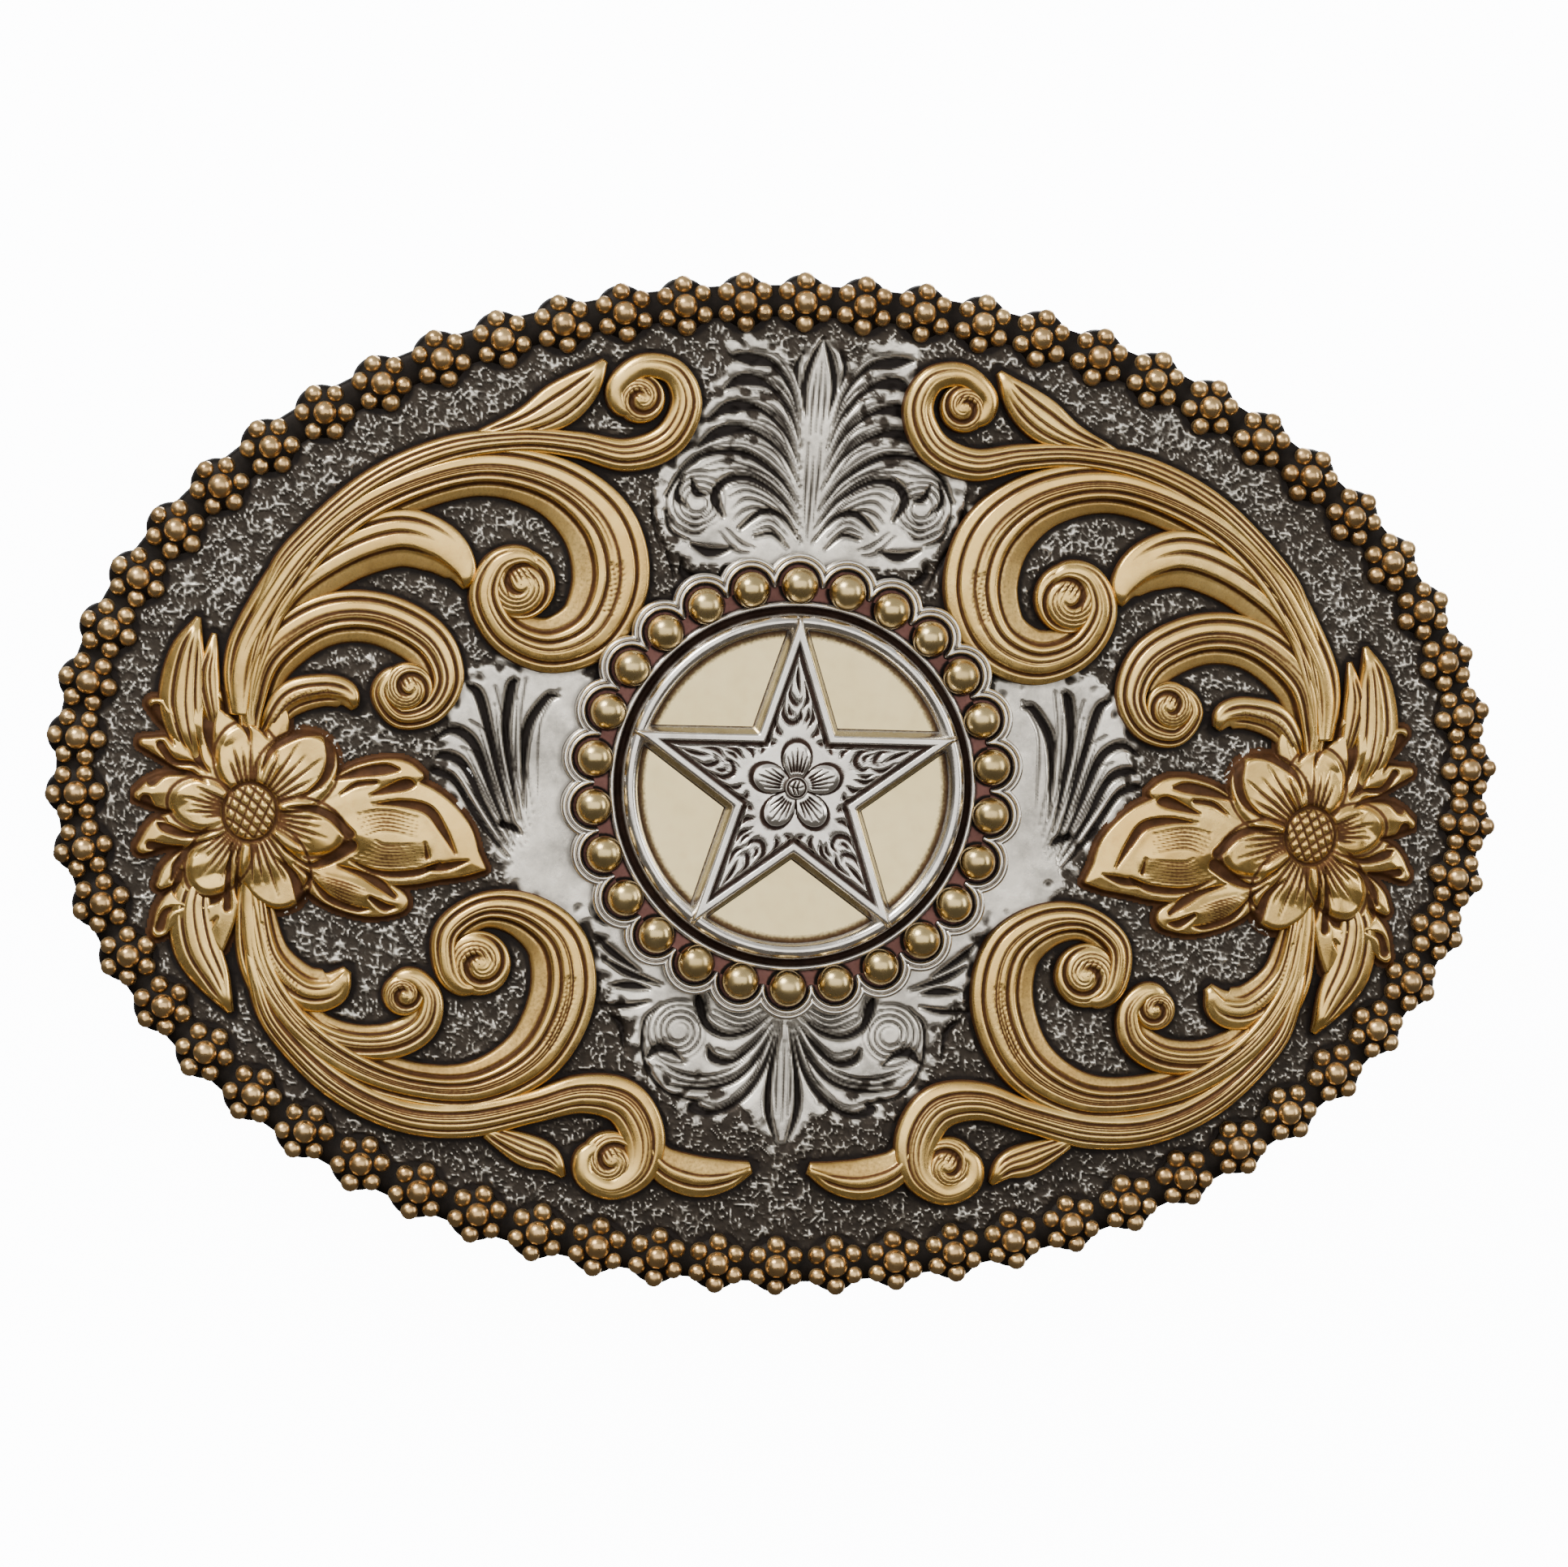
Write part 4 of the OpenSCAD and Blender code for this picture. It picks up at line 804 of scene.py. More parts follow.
def ground(side):
    """One half of the face sheet: its stipple, and the sprays engraved in it."""
    x, z = np.meshgrid(GROUND_X, GROUND_Z, indexing="ij")
    x[-1] = 0
    gold, disc, beads = neighbours(x, z)
    edge = oval_inset(x, z) - 3.1
    worms, broken = ((field if side < 0 else field[::-1])[:len(GROUND_X)] for field in (WORMS, BROKEN))
    crest = bell(worms, 0.42) * smooth(-1.5, -0.1, broken)
    # the sprays aren't quite symmetrical: their middle lines stand off the plate's, and the upper leans
    true_x = -side * x
    top_x = -np.abs(true_x - 0.65 - 0.054 * (z - 17))
    bottom_x = -np.abs(true_x - 0.15)
    plain = plain_silver(x, z, top_x, bottom_x, broken)

    beside = (smooth(0.15, 0.5, -gold) * smooth(0.15, 0.45, -disc) * smooth(0.1, 0.4, edge)
              * smooth(0.05, 0.35, -beads))
    open_ground = (1 - plain) * beside
    work = Carving(x, z, FACE_T - 0.12 + 0.17 * crest * open_ground + 0.1 * plain)
    engrave(work, top_x, TOP_CUTS, TOP_LINES, 0.9)
    engrave(work, bottom_x, BOTTOM_CUTS, BOTTOM_LINES, 0.9)
    engrave(work, x, SIDE_CUTS, SIDE_LINES, 1.2)
    for above, cz, cx, first in VOLUTES:
        where = top_x if above > 0 else bottom_x
        r, line = curl(where - cx, z - cz, first)
        line = np.maximum(line, bell(r - 2.15, 0.1) * smooth(-0.4, 0.4, np.abs(where) - abs(cx) + 0.6))
        work.height -= 0.14 * line
        work.darken(1.05 * line)

    # the hollows of the stipple are darker low on the plate, and the ground beside every raised part is
    # darkened with painted shade
    low = smooth(-14, -25, z)
    hollow = 0.84 + 0.16 * low - (0.84 + 0.06 * low) * crest
    cut = np.maximum(hollow * open_ground + (1 - beside) * (1 - plain), work.cut)
    # painted shade: the ground darkens towards the gold, the concho, the bead band and the beads
    shade = np.maximum.reduce([smooth(-0.6, -0.05, gold), smooth(-0.45, -0.05, disc),
                               smooth(0.4, -0.1, edge), smooth(-0.45, 0.1, beads)])
    cut = np.clip(cut + 0.45 * shade, 0, 1.3)
    keep = (gold < 0.6) & (disc < 0.6) & (edge > -0.9) & (beads < 1.2)
    shape = Shape()
    shape.masked(on_plate(true_x, z, work.height), keep.ravel()[lattice(*x.shape)].all(1), cut,
                 plain * np.clip(1 - work.cut, 0, 1))
    return shape


# ---------------------------------------------------------------- beaded edge
def cluster_level(along, inset):
    """Level of the edge at a point this far along from a cluster's middle: a row of joined mounds."""
    across = inset - CLUSTER_INSET
    mound = 0.95 * np.sqrt(np.clip(1 - (along ** 2 + across ** 2) / (CLUSTER_R + 0.08) ** 2, 0, 1))
    link = 0.6 * np.sqrt(np.clip(1 - (across / 1.3) ** 2, 0, 1))
    return (mound ** 4 + link ** 4) ** 0.25


def rim_band():
    """The scalloped band under the beads."""
    per = 24
    t = np.arange(BERRY_COUNT * per) / (BERRY_COUNT * per)
    off = np.arange(len(t)) % per
    along = np.where(off > per / 2, off - per, off) / per * CLUSTER_PITCH
    outer = CLUSTER_INSET - np.sqrt(np.maximum(CLUSTER_R ** 2 - along ** 2, 1.12 ** 2))
    v = np.concatenate([[0.5, 0.02, -0.02, -0.02, -0.01], np.linspace(0, 1, 34) ** 0.9])[:, None]
    inset = outer + v * (3.8 - outer)
    level = cluster_level(along, inset)
    # the outer wall, from under the plate's edge up to the top
    level[0] = level[1] = -1.3
    level[2] = -1.15
    level[3] = -0.6
    level[4] = 0.5 * level[5] - 0.1
    x, z, _ = edge_points(t[None, :], inset)
    shape = Shape()
    shape.grid(on_plate(x, z, level), 0.85 + 0.2 * smooth(0.5, 0.1, level))
    return shape


def ball(shape, centre, radius, rings, spokes, painted_shade_from, up=FRONT, depth=0.75):
    """A ball, open below depth radii under its middle; its patina-and-shade value grows towards its
    foot: painted shade on its lower flanks, so that its top stays the brightest.
    """
    v = np.linspace(0, 1, rings)[:, None] * (math.pi - math.acos(depth))
    theta = circle(spokes)
    up = Vector(up)
    side = up.orthogonal().normalized()
    axes = np.array([side, up.cross(side), up])
    parts = np.broadcast_arrays(np.sin(v) * np.cos(theta), np.sin(v) * np.sin(theta), np.cos(v))
    co = centre + np.stack(parts, -1).reshape(-1, 3) @ axes * radius * MM
    quads = lattice(rings, spokes, closed=True)
    a, b, d = co[quads[:, 0]], co[quads[:, 1]], co[quads[:, 3]]
    if (np.cross(b - a, d - a) * (co[quads].mean(1) - centre)).sum() < 0:
        quads = quads[:, ::-1]
    # painted shade: darker from the given share of a half turn away from the pole down to the foot
    shape.add(co, quads, smooth(math.cos(painted_shade_from * math.pi), -0.6, np.cos(v)) * np.ones(spokes))


def berries():
    """The beads of the edge: clusters of six round one."""
    shape = Shape()
    for i in range(BERRY_COUNT):
        x, z, n = edge_points(np.array(i / BERRY_COUNT), CLUSTER_INSET)
        jitter = rng.normal(0, 0.015, 8)
        ball(shape, on_plate(x, z, 0.86), 0.82 + jitter[0], 12, 20, 0.22)
        for k in range(6):
            a = math.pi / 3 * k
            out, along = math.cos(a) * PETAL_BALL_AT, math.sin(a) * PETAL_BALL_AT
            px = float(x) + n[0] * out - n[1] * along
            pz = float(z) + n[1] * out + n[0] * along
            lean = Vector((n[0] * out * 0.25, -1, n[1] * out * 0.25)).normalized()
            ball(shape, on_plate(px, pz, 0.52), PETAL_BALL_R + jitter[k + 1], 9, 14, 0.2, up=lean)
    return shape


# ---------------------------------------------------------------- concho
ALL_ROUND = circle(PEARL_COUNT * 30)


def around(profile, radius):
    """A ring whose section is profile rows [inset, height, patina and shade]; radius(theta, inset) is its
    outline.
    """
    rows = np.array(profile, float)
    r = np.stack([radius(ALL_ROUND, inset) for inset in rows[:, 0]], 0)
    shape = Shape()
    shape.grid(on_concho(r * np.sin(ALL_ROUND), r * np.cos(ALL_ROUND), rows[:, 1:2]), rows[:, 2:3])
    return shape


def circle_r(theta, inset):
    """As lobed_r, for the bright ring's round outline."""
    return np.full_like(theta, RING_R - inset)


def concho_floor():
    """The enamelled floor under the balls, with painted shade round the foot of each and beside the ring, and
    its scalloped wall.
    """
    shape = around([[0, -1.65, 1], [0, -0.9, 0.8], [0, -0.1, 0.5], [0.02, 0, 0.6], [0.3, 0, 0.9],
                    [0.62, 0, 0.9], [0.8, 0, 0.3], [1.2, 0, 0.1]], lobed_r)
    rings = np.linspace(14.6, RING_R - 0.1, 22)[:, None]
    phi = lobe_angle(ALL_ROUND)
    near = np.hypot(rings * np.cos(phi) - PEARL_RING_R, rings * np.sin(phi))
    # painted shade on the flat floor round each ball's foot and beside the ring wire
    cut = np.maximum(smooth(1.5, 1.25, near) * 0.9 + 0.1, smooth(12.9, 12.5, rings))
    r = np.minimum(rings, lobed_r(ALL_ROUND, 1.2))
    shape.grid(on_concho(r * np.sin(ALL_ROUND), r * np.cos(ALL_ROUND), 0.0), cut)
    return shape


def concho_lip():
    """The silver edge of the scallops: two fine beads with a line between."""
    return around([[-0.1, -0.55, 0.9], [-0.12, 0.1, 0.35], [-0.09, 0.36, 0.08], [0, 0.49, 0], [0.1, 0.5, 0],
                   [0.18, 0.45, 0], [0.23, 0.36, 0.6], [0.27, 0.35, 0.7], [0.31, 0.42, 0.1], [0.4, 0.47, 0],
                   [0.5, 0.42, 0.05], [0.57, 0.26, 0.4], [0.62, -0.02, 1]], lobed_r)


def pearls():
    """The brass balls, each a little off its place as set by hand."""
    shape = Shape()
    for k in range(PEARL_COUNT):
        a = 2 * math.pi * k / PEARL_COUNT
        dent = rng.normal(0, 0.02, 2)
        centre = on_concho(PEARL_RING_R * math.sin(a) + dent[0], PEARL_RING_R * math.cos(a) + dent[1], 0.62)
        ball(shape, centre, PEARL_R + 0.03 + dent[0] * 0.5, 20, 36, 0.5, depth=0.5)
    return shape


def ring_line():
    """The fine wire just outside the bright ring."""
    return around([[-0.62, 0, 1], [-0.56, 0.22, 0.5], [-0.42, 0.4, 0.1], [-0.28, 0.36, 0.2],
                   [-0.2, 0.15, 0.9], [-0.1, 0.05, 1], [0.02, 0, 1]], circle_r)


def bright_ring():
    """The half round ring about the star."""
    top = [[0.22 + 1.2 * v, 0.3 + 0.95 * math.sqrt(max(1 - (2 * v - 1) ** 2, 0)), 0.85 * abs(2 * v - 1) ** 6]
           for v in np.linspace(0, 1, 15)]
    return around([[0, 0, 1], [0.2, 0.1, 1], *top, [1.44, 0.36, 1], [RING_W, 0.36, 1]], circle_r)


def mirror():
    """The polished disc behind the star, very slightly dished."""
    shape = Shape()
    r = np.concatenate([[0.05], np.linspace(1.5, RING_R - RING_W + 0.1, 16)])[:, None]
    theta = circle(128)
    shape.grid(on_concho(r * np.sin(theta), r * np.cos(theta), 0.4 + 0.0006 * r ** 2), smooth(10.1, 10.62, r))
    return shape


def star_points(count):
    """The star's outline from its top point, with the same number of points on every edge."""
    radii = (STAR_R, STAR_R * math.sin(math.radians(18)) / math.sin(math.radians(54)))
    corners = [(radii[k % 2] * math.sin(math.pi / 5 * k), radii[k % 2] * math.cos(math.pi / 5 * k))
               for k in range(11)]
    t = np.arange(count)[:, None] / count
    corners = np.array(corners)
    return np.vstack([a * (1 - t) + b * t for a, b in zip(corners[:-1], corners[1:])])


# Gouges of the star's upper point, [x, z, width]
STAR_ENGRAVING = [
    [[-0.1, 8.4, 0.05], [-0.06, 7.3, 0.24], [0.1, 6.4, 0.05]],
    [[-0.42, 7.3, 0.05], [-0.62, 6.4, 0.24], [-0.15, 5.7, 0.28], [0.3, 6, 0.05]],
    [[0.42, 7.1, 0.05], [0.66, 6.1, 0.26], [0.3, 5.3, 0.05]],
    [[-0.95, 6, 0.05], [-1.02, 5, 0.3], [-0.45, 4.4, 0.32], [0.15, 4.7, 0.26], [0.2, 5.2, 0.05]],
    [[-0.62, 5.6, 0.05], [-0.55, 5.1, 0.24], [-0.15, 4.95, 0.05]],
    [[1, 5.7, 0.05], [1.08, 4.8, 0.3], [0.7, 4.1, 0.05]],
    [[0.7, 5.3, 0.05], [0.72, 4.8, 0.22], [0.45, 4.4, 0.05]],
    [[-1.5, 4.6, 0.05], [-1.4, 3.9, 0.3], [-0.95, 3.5, 0.05]],
    [[1.5, 4.5, 0.05], [1.4, 3.8, 0.3], [0.95, 3.4, 0.05]],
    [[-2, 3.5, 0.05], [-1.75, 3, 0.26], [-1.35, 3.1, 0.05]],
    [[2, 3.5, 0.05], [1.75, 3, 0.26], [1.35, 3.1, 0.05]],
]


def petal_reach(theta):
    """How far the little flower's petals reach at an angle from the top."""
    return 1.2 + 2.0 * np.abs(np.cos(2.5 * theta)) ** 0.7


def star_body():
    """The star: steep flanks, a flat border, a groove and the engraved panel inside it."""
    edge = star_points(34)
    d = np.concatenate([[-0.62, -0.55], np.linspace(-0.5, 0.0, 5), np.linspace(0.06, 0.42, 5),
                        np.linspace(0.46, 0.84, 9), np.linspace(0.9, 3.4, 30)])[:, None]
    s = 1 - d / STAR_APOTHEM
    x, z = s * edge[:, 0], s * edge[:, 1]
    # the flanks' points are cut off by the ring
    pull = np.minimum(1, 11.75 / np.hypot(x, z))
    x, z = x * pull, z * pull
    height = np.where(d < -0.54, 0.35, 0.4 + 1.28 * smooth(-0.62, 0.06, d))
    work = Carving(x, z, height - 0.34 * smooth(0.42, 0.52, d) + 0.3 * smooth(0.7, 0.86, d))
    work.darken(np.maximum(bell(d - 0.6, 0.16), 0.75 * smooth(-0.3, -0.5, d)))
    for k in range(5):
        c, sn = math.cos(math.pi * 2 / 5 * k), math.sin(math.pi * 2 / 5 * k)
        for line in STAR_ENGRAVING:
            work.gouge([[px * c + pz * sn, pz * c - px * sn, w] for px, pz, w in line], 0.18, 0.07, 1.15)
    panel = smooth(0.8, 0.95, d)
    work.cut = work.cut * np.where(d > 0.8, panel, 1)
    beyond = np.hypot(x, z) - petal_reach(np.arctan2(x, z))
    work.darken(panel * smooth(0.34, 0.12, beyond))
    shape = Shape()
    shape.grid(on_concho(x, z, work.height), work.cut)
    return shape


def star_petals():
    """The little five-petal flower in the middle of the star."""
    theta = circle(300)
    s = np.linspace(0.2, 1.0, 34)[:, None]
    rr = s * petal_reach(theta)
    x, z = rr * np.sin(theta), rr * np.cos(theta)
    phi = (theta + math.pi / 5) % (2 * math.pi / 5) - math.pi / 5
    height = 1.82 + 0.22 * (1 - (phi / 0.66) ** 2) * smooth(0.5, 1.6, rr) - 0.12 * smooth(0.8, 1.0, s)
    height[-1] = 1.5
    work = Carving(x, z, height)
    work.darken(np.maximum(smooth(0.93, 0.99, s), smooth(0.5, 0.6, np.abs(phi))))
    for k in range(5):
        for j in (-2, -1, 0, 1, 2):
            a = 2 * math.pi / 5 * k + j * 0.16
            far = 2.75 - 0.28 * abs(j)
            work.gouge([[r * math.sin(a), r * math.cos(a), w] for r, w in ((1.15, 0.17), (far, 0.04))],
                       0.1, 0.05, 1.1)
    shape = Shape()
    shape.grid(on_concho(x, z, work.height), work.cut)
    return shape


def button():
    """The slotted rivet head in the middle of the flower, and its plain head on the back."""
    shape = Shape()
    x, z = np.meshgrid(np.linspace(-1.1, 1.1, 60), np.linspace(-1.1, 1.1, 60), indexing="ij")
    inside = 0.86 - np.hypot(x, z)
    work = Carving(x, z, 2.2 + 0.12 * smooth(0, 0.8, inside))
    work.height -= 0.14 * bell(inside - 0.24, 0.07)
    work.darken(bell(inside - 0.24, 0.09))
    for k in (-0.14, 0.14):
        work.gouge([[0.05 + k, 0.45, 0.1], [-0.12 + k, 0, 0.14], [k, -0.45, 0.1]], 0.14, 0.05)
    work.gouge([[-0.45, 0.1, 0.08], [0, -0.02, 0.1], [0.45, 0.12, 0.08]], 0.1, 0.05)
    patch(shape, work, inside, 1.6, on_concho, wall=0.16)
    theta = circle(48)
    rows = [(1.75, -0.05)]
    rows += [(1.7 * math.cos(a), 0.2 + 0.45 * math.sin(a)) for a in np.linspace(0, 1.5, 9)]
    r, y = np.array(rows).T[:, :, None]
    cut = np.array([1.0, 0.6] + [0.0] * 8)[:, None]
    shape.grid(points_at(r * np.sin(theta), y + (FRONT_Y + PLATE_T), r * np.cos(theta)), cut, towards=BACK)
    return shape


# ---------------------------------------------------------------- base plate
def plate_shell():
    """The base plate's rounded edge and its back; the face sheet and the band cover its front."""
    theta = circle(720)
    a, b = HALF_W - 1.5, HALF_H - 1.5
    rows = [(3.0, -0.2), (0.35, -0.2)]
    for turn in math.pi / 2 * np.arange(7) / 6:
        rows.append((0.3 - 0.3 * math.sin(turn), -0.3 + 0.3 * math.cos(turn)))
    for turn in math.pi / 2 * np.arange(9) / 8:
        rows.append((0.45 - 0.45 * math.cos(turn), -PLATE_T + 0.45 - 0.45 * math.sin(turn)))
    rows += [(inset, -PLATE_T) for inset in np.linspace(0.9, b - 0.3, 60)]
    inset, level = np.array(rows).T[:, :, None]
    # the back of a struck plate: a shallow rolled border, then nearly flat
    level = level + 0.12 * (smooth(1.6, 2.4, inset) - smooth(2.4, 3.6, inset)) * (level < -PLATE_T + 0.01)
    x = (a - inset * (1 + (a / b - 1) * smooth(1.0, b, inset))) * np.sin(theta)
    shape = Shape()
    cut = 0.5 * bell(inset - 3.4, 0.5) * (level < -1)
    shape.grid(on_plate(x, (b - inset) * np.cos(theta), level), cut, towards=BACK)
    return shape


# ---------------------------------------------------------------- materials
class Nodes:
    """Adds and links shader nodes of one tree."""

    def __init__(self, tree):
        self.tree = tree

    def add(self, kind, **settings):
        node = self.tree.nodes.new(kind)
        for key, value in settings.items():
            if hasattr(node, key):
                setattr(node, key, value)
            else:
                node.inputs[key.replace("_", " ")].default_value = value
        return node

    def link(self, source, target):
        self.tree.links.new(source, target)

    def give(self, target, value):
        """Links a socket to the target, or sets it to a number or a colour."""
        if isinstance(value, tuple):
            target.default_value = (*value, 1)
        elif isinstance(value, (int, float)):
            target.default_value = value
        else:
            self.link(value, target)

    def attribute(self, name):
        return self.add("ShaderNodeAttribute", attribute_name=name, attribute_type="GEOMETRY").outputs["Fac"]

    def ramp(self, source, stops):
        node = self.add("ShaderNodeValToRGB")
        band = node.color_ramp
        while len(band.elements) < len(stops):
            band.elements.new(0.5)
        for element, (at, value) in zip(band.elements, stops):
            element.position = at
            element.color = (*value, 1) if isinstance(value, tuple) else (value, value, value, 1)
        self.link(source, node.inputs["Fac"])
        return node.outputs["Color"]

    def math(self, operation, a, b):
        node = self.add("ShaderNodeMath", operation=operation)
        self.give(node.inputs[0], a)
        self.give(node.inputs[1], b)
        return node.outputs[0]

    def mix(self, share, a, b):
        node = self.add("ShaderNodeMix", data_type="RGBA")
        for key, value in ((0, share), (6, a), (7, b)):
            self.give(node.inputs[key], value)
        return node.outputs[2]


class Paint(Nodes):
    """One material, with noises sized in millimetres of the object."""

    def __init__(self, name):
        self.material = bpy.data.materials.new(name)
        self.material.use_nodes = True
        super().__init__(self.material.node_tree)
        self.bsdf = self.tree.nodes["Principled BSDF"]
        self.where = self.add("ShaderNodeTexCoord").outputs["Object"]

    def noise(self, size_mm, detail, roughness=0.55):
        node = self.add("ShaderNodeTexNoise", Scale=1 / (size_mm * MM), Detail=detail, Roughness=roughness)
        self.link(self.where, node.inputs["Vector"])
        return node.outputs["Fac"]


def metal(name, top, worn, recess_and_shade, rough, recess_and_shade_rough, recess_and_shade_metal=0.35, speckle=0.35, grain=0.25,
          scale=1.0, tarnish=None, plain=None, blot=0.35):
    """A plated and patinated metal. top and worn mottle together, and where the patina-and-shade value is
    high the recess colour fills the hollows as patina and the shaded places as painted shade; blots of
    tarnish lie over them, and plain is for the tinted parts."""
    p = Paint(name)
    cut = p.attribute("cut")
    fine_noise = p.noise(0.35 * scale, 4)
    body = p.mix(p.ramp(p.noise(6 * scale, 4, 0.6), [(0.35, 0.0), (0.68, 1.0)]), top, worn)
    body = p.mix(p.ramp(fine_noise, [(0.42, 0.0), (0.75, speckle)]), body, worn)
    if tarnish:
        body = p.mix(p.ramp(p.noise(2.4 * scale, 5, 0.65), [(0.52, 0.0), (0.74, blot)]), body, tarnish)
    # the edge between bare metal and its patina and painted shade is ragged
    ragged = p.math("ADD", cut, p.math("MULTIPLY", p.math("SUBTRACT", p.noise(0.22 * scale, 3), 0.5), 0.5))
    share = p.ramp(ragged, [(0.12, 0.0), (0.34, 0.35), (0.56, 0.86), (0.8, 1.0)])
    # the recess colour serves both the patina in the hollows and the painted shade, and turns near black
    # where the value is highest
    darker = tuple(0.55 * c for c in recess_and_shade)
    hollow_and_shade_colour = p.mix(p.ramp(p.noise(0.9 * scale, 3), [(0.35, 0.0), (0.7, 1.0)]), recess_and_shade, darker)
    darkest_share = p.ramp(p.math("SUBTRACT", cut, 0.5), [(0.38, 0.0), (0.75, 0.85)])
    hollow_and_shade_colour = p.mix(darkest_share, hollow_and_shade_colour, (0.012, 0.009, 0.008))
    colour = p.mix(share, body, hollow_and_shade_colour)
    roughness = p.ramp(p.noise(1.1 * scale, 4), [(0.3, max(rough - 0.06, 0.02)), (0.7, rough + 0.08)])
    roughness = p.mix(share, roughness, (recess_and_shade_rough,) * 3)
    if plain:
        # painted shade: the plain silver is darkened in broad random patches, standing in for the uneven
        # reflections of its polished face
        mottled = p.ramp(p.noise(4.2, 6, 0.7), [(0.4, 0.0), (0.64, 1.0)])
        shaded = p.mix(mottled, plain, tuple(0.4 * c for c in plain))
        colour = p.mix(p.math("MULTIPLY", p.attribute("tint"), 0.85), colour, shaded)
    p.link(colour, p.bsdf.inputs["Base Color"])
    p.link(roughness, p.bsdf.inputs["Roughness"])
    p.bsdf.inputs["Specular IOR Level"].default_value = 0.15
    p.link(p.ramp(share, [(0.0, 1.0), (1.0, recess_and_shade_metal)]), p.bsdf.inputs["Metallic"])
    bump = p.add("ShaderNodeBump", Strength=grain, Distance=0.02 * MM * scale)
    p.link(p.noise(0.16 * scale, 4, 0.6), bump.inputs["Height"])
    p.link(bump.outputs["Normal"], p.bsdf.inputs["Normal"])
    return p.material


ANTIQUE_GOLD = metal("antique_gold", (0.99, 0.68, 0.23), (0.79, 0.49, 0.14), (0.125, 0.052, 0.018),
                     0.26, 0.6, tarnish=(0.38, 0.21, 0.07), blot=0.42)
GROUND_SILVER = metal("stippled_silver", (0.80, 0.75, 0.65), (0.60, 0.55, 0.46), (0.055, 0.043, 0.032),
                      0.28, 0.5, recess_and_shade_metal=0.5, plain=(0.93, 0.86, 0.735))
BRIGHT_SILVER = metal("bright_silver", (0.94, 0.885, 0.79), (0.73, 0.68, 0.60), (0.050, 0.026, 0.017),
                      0.2, 0.5, tarnish=(0.30, 0.25, 0.20), blot=0.45)
BRONZE_BAND = metal("bronze_band", (0.12, 0.075, 0.035), (0.07, 0.045, 0.022), (0.014, 0.010, 0.007),
                    0.4, 0.5, recess_and_shade_metal=0.4)
BRONZE_BEADS = metal("bronze_beads", (0.84, 0.57, 0.26), (0.54, 0.33, 0.14), (0.03, 0.018, 0.010),
                     0.28, 0.5, tarnish=(0.16, 0.09, 0.04), blot=0.5)
RECESS_ENAMEL = metal("recess_enamel", (0.19, 0.09, 0.075), (0.13, 0.062, 0.052), (0.012, 0.008, 0.007),
                      0.42, 0.6, recess_and_shade_metal=0.3)
BEAD_BRASS = metal("bead_brass", (0.70, 0.53, 0.25), (0.58, 0.42, 0.18), (0.06, 0.03, 0.015),
                   0.26, 0.4, speckle=0.2, grain=0.1, tarnish=(0.26, 0.16, 0.05), blot=0.25)
MIRROR_GOLD = metal("mirror_gold", (0.82, 0.66, 0.34), (0.77, 0.61, 0.30), (0.10, 0.05, 0.02),
                    0.14, 0.5, speckle=0.05, grain=0.03)
NICKEL_BACK = metal("nickel_back", (0.58, 0.57, 0.55), (0.5, 0.49, 0.47), (0.12, 0.11, 0.10),
                    0.3, 0.5, scale=1.6, tarnish=(0.40, 0.38, 0.35), blot=0.2)
NICKEL_HARDWARE = metal("nickel_hardware", (0.63, 0.62, 0.60), (0.54, 0.53, 0.51), (0.1, 0.09, 0.08),
                        0.22, 0.5, tarnish=(0.36, 0.33, 0.29), blot=0.3)

# ---------------------------------------------------------------- the pieces
for side, name in ((-1, "left"), (1, "right")):
    for make, part, node in (
            (scroll(side, UPPER_BANDS, UPPER_EYES, UPPER_SPINS, 1.32), "upper_scroll_", "scroll_upper_"),
            (scroll(side, LOWER_BANDS, LOWER_EYES, LOWER_SPINS, 1.3), "lower_scroll_", "scroll_lower_")):
        make.build(part + name, ANTIQUE_GOLD, "antique_gold", [node + name])
    flower(side).build("wild_rose_" + name, ANTIQUE_GOLD, "antique_gold",
                       ["flower_" + name] + (["flower_centres"] if side < 0 else []))
    ground(side).build("stippled_ground_" + name, GROUND_SILVER, "engraved_silver",
                       ["face_sheet"] if side < 0 else [])
for make, name, material, slot, node in (
        (rim_band, "edge_band", BRONZE_BAND, "antique_bronze", "berry_rim"),
        (berries, "edge_beads", BRONZE_BEADS, "antique_bronze", "rim_berries"),
        (concho_floor, "concho_floor", RECESS_ENAMEL, "recess_enamel", "concho_base"),
        (concho_lip, "concho_lip", BRIGHT_SILVER, "bright_silver", "scalloped_wire"),
        (pearls, "brass_balls", BEAD_BRASS, "bead_brass", "pearl_beads"),
        (ring_line, "concho_wire", BRIGHT_SILVER, "bright_silver", "ring_wire"),
        (bright_ring, "concho_ring", BRIGHT_SILVER, "bright_silver", "star_ring"),
        (mirror, "mirror_face", MIRROR_GOLD, "mirror_gold", "mirror_disc"),
        (star_body, "star_body", BRIGHT_SILVER, "bright_silver", "star"),
        (star_petals, "star_petals", BRIGHT_SILVER, "bright_silver", "star_flower"),
        (button, "star_button", BRIGHT_SILVER, "bright_silver", "concho_rivet"),
        (plate_shell, "base_shell", NICKEL_BACK, "nickel_back", "base_plate")):
    make().build(name, material, slot, [node])

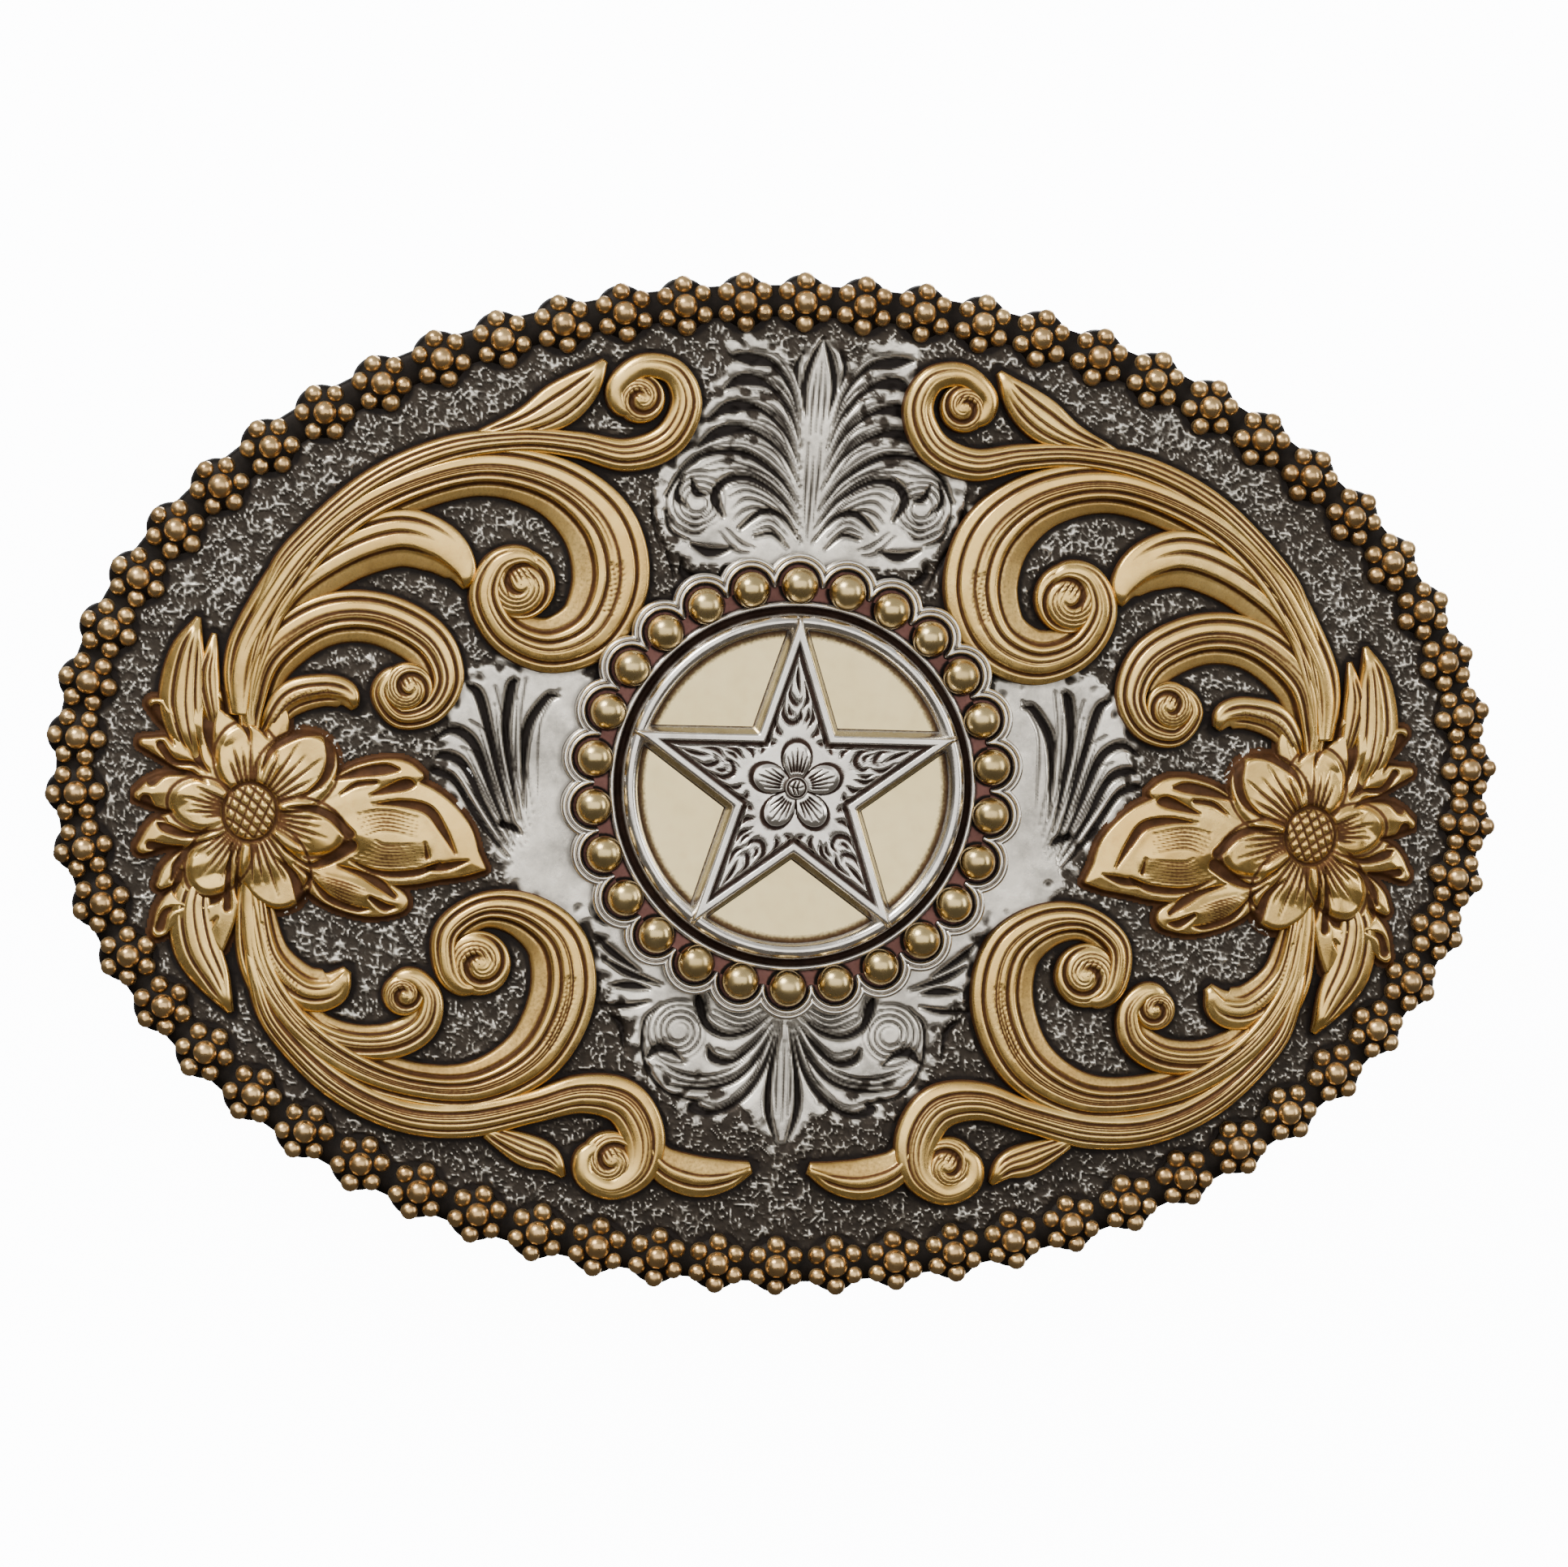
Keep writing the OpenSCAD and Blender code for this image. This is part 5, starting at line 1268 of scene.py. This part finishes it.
# Hardware that the CAD already draws in full: softened edges and its own metal
for node in ("hinge_bracket", "bracket_rivets", "hinge_pin", "bail_sleeve", "bail_loop", "hook_base",
             "hook_rivets", "hook_peg"):
    thing = bpy.data.objects[node]
    bevel = thing.modifiers.new("soft_edges", "BEVEL")
    bevel.width = 0.18 * MM
    bevel.segments = 3
    bevel.limit_method = "ANGLE"
    bevel.angle_limit = math.radians(35)
    bevel.harden_normals = True
    thing.data.materials.clear()
    thing.data.materials.append(NICKEL_HARDWARE)
    for face in thing.data.polygons:
        face.material_index = 0

# ---------------------------------------------------------------- camera, lights and stage
AZIMUTH = math.radians(-8)
ELEVATION = math.radians(3)
ROLL = math.radians(1.75)
DISTANCE = 0.6
AIM = Vector((-0.00038, FRONT_Y * MM, 0.0001))
SENSOR = 36
PHOTO_WIDTH = 1932                    # pixels
PHOTO_SCALE = 17.96                   # pixels per millimetre at the plate
WHITE = (0.97, 0.985, 1, 1)
FLOOR_Z = -0.066
FLOOR_HALF = 3
CARD_HALF, CARD_Y, CARD_TOP = 0.16, 0.02, 0.16
SKY_GLOW = 14
GLOW = 13                             # of the floor and the card, which come out as white as the sky

camera = bpy.data.objects.new("camera", bpy.data.cameras.new("camera"))
bpy.context.scene.collection.objects.link(camera)
look = Vector((math.sin(AZIMUTH) * math.cos(ELEVATION), -math.cos(AZIMUTH) * math.cos(ELEVATION),
               math.sin(ELEVATION)))
camera.matrix_world = (Matrix.Translation(AIM + look * DISTANCE)
                       @ (look.to_track_quat("Z", "Y").to_matrix().to_4x4() @ Matrix.Rotation(ROLL, 4, "Z")))
camera.data.sensor_width = SENSOR
camera.data.lens = SENSOR * DISTANCE / (PHOTO_WIDTH / PHOTO_SCALE * MM)
bpy.context.scene.camera = camera


def lamp(name, at, size, power):
    """A soft panel that points at the object."""
    data = bpy.data.lights.new(name, "AREA")
    data.shape = "RECTANGLE"
    data.size, data.size_y = size
    data.energy = power
    thing = bpy.data.objects.new(name, data)
    bpy.context.scene.collection.objects.link(thing)
    thing.location = at
    thing.rotation_euler = (-Vector(at)).to_track_quat("-Z", "Y").to_euler()


lamp("front", (-0.1, -1.1, 0.22), (1.9, 0.85), 8.8)
lamp("key", (-0.55, -0.5, 0.8), (0.4, 0.4), 10)
lamp("side", (0.95, -0.5, 0.25), (0.3, 0.7), 3.4)
lamp("back", (0.35, 0.8, 0.6), (0.5, 0.4), 7)
lamp("back_low", (0.55, 1.0, 0.0), (1.7, 1.0), 7)

# The sky: plain white to the eye, and a soft gradient as a light
world = bpy.data.worlds.new("world")
bpy.context.scene.world = world
world.use_nodes = True
sky = Nodes(world.node_tree)
lit = world.node_tree.nodes["Background"]
lit.inputs["Strength"].default_value = 0.8
split = sky.add("ShaderNodeSeparateXYZ")
sky.link(sky.add("ShaderNodeTexCoord").outputs["Generated"], split.inputs[0])
gradient = sky.ramp(split.outputs["Z"], [(0.0, (0.15, 0.14, 0.13)), (0.6, (0.75, 0.76, 0.78))])
sky.link(gradient, lit.inputs["Color"])
either = sky.add("ShaderNodeMixShader")
seen = sky.add("ShaderNodeBackground", Color=WHITE, Strength=SKY_GLOW)
camera_ray = sky.add("ShaderNodeLightPath").outputs["Is Camera Ray"]
for target, source in zip(either.inputs, (camera_ray, lit.outputs[0], seen.outputs[0])):
    sky.link(source, target)
sky.link(either.outputs[0], world.node_tree.nodes["World Output"].inputs["Surface"])


def pale(name, one_way=False):
    """Glowing white; one_way is clear from behind."""
    p = Paint(name)
    shade = p.mix(p.ramp(p.noise(25, 3), [(0.3, 0.0), (0.7, 1.0)]), (0.86, 0.87, 0.875), (0.88, 0.885, 0.89))
    p.link(shade, p.bsdf.inputs["Base Color"])
    for key, value in (("Roughness", 0.8), ("Emission Color", WHITE), ("Emission Strength", GLOW)):
        p.bsdf.inputs[key].default_value = value
    if one_way:
        mixed = p.add("ShaderNodeMixShader")
        clear = p.add("ShaderNodeBsdfTransparent")
        behind = p.add("ShaderNodeNewGeometry").outputs["Backfacing"]
        for target, source in zip(mixed.inputs, (behind, p.bsdf.outputs[0], clear.outputs[0])):
            p.link(source, target)
        p.link(mixed.outputs[0], p.tree.nodes["Material Output"].inputs["Surface"])
    return p.material


def sheet(name, corners, material):
    """A flat piece of the stage that only the camera sees."""
    mesh = bpy.data.meshes.new(name)
    mesh.from_pydata(corners, [], [(0, 1, 2, 3)])
    mesh.materials.append(material)
    thing = bpy.data.objects.new(name, mesh)
    bpy.context.scene.collection.objects.link(thing)
    for way in ("visible_diffuse", "visible_glossy", "visible_transmission", "visible_shadow"):
        setattr(thing, way, False)
    return thing


square = ((-1, -1), (1, -1), (1, 1), (-1, 1))
floor = sheet("floor", [(x * FLOOR_HALF, y * FLOOR_HALF, FLOOR_Z) for x, y in square], pale("pale_floor"))
card = sheet("card", [(x * CARD_HALF, CARD_Y, CARD_TOP if y > 0 else FLOOR_Z) for x, y in square],
             pale("white_card", one_way=True))
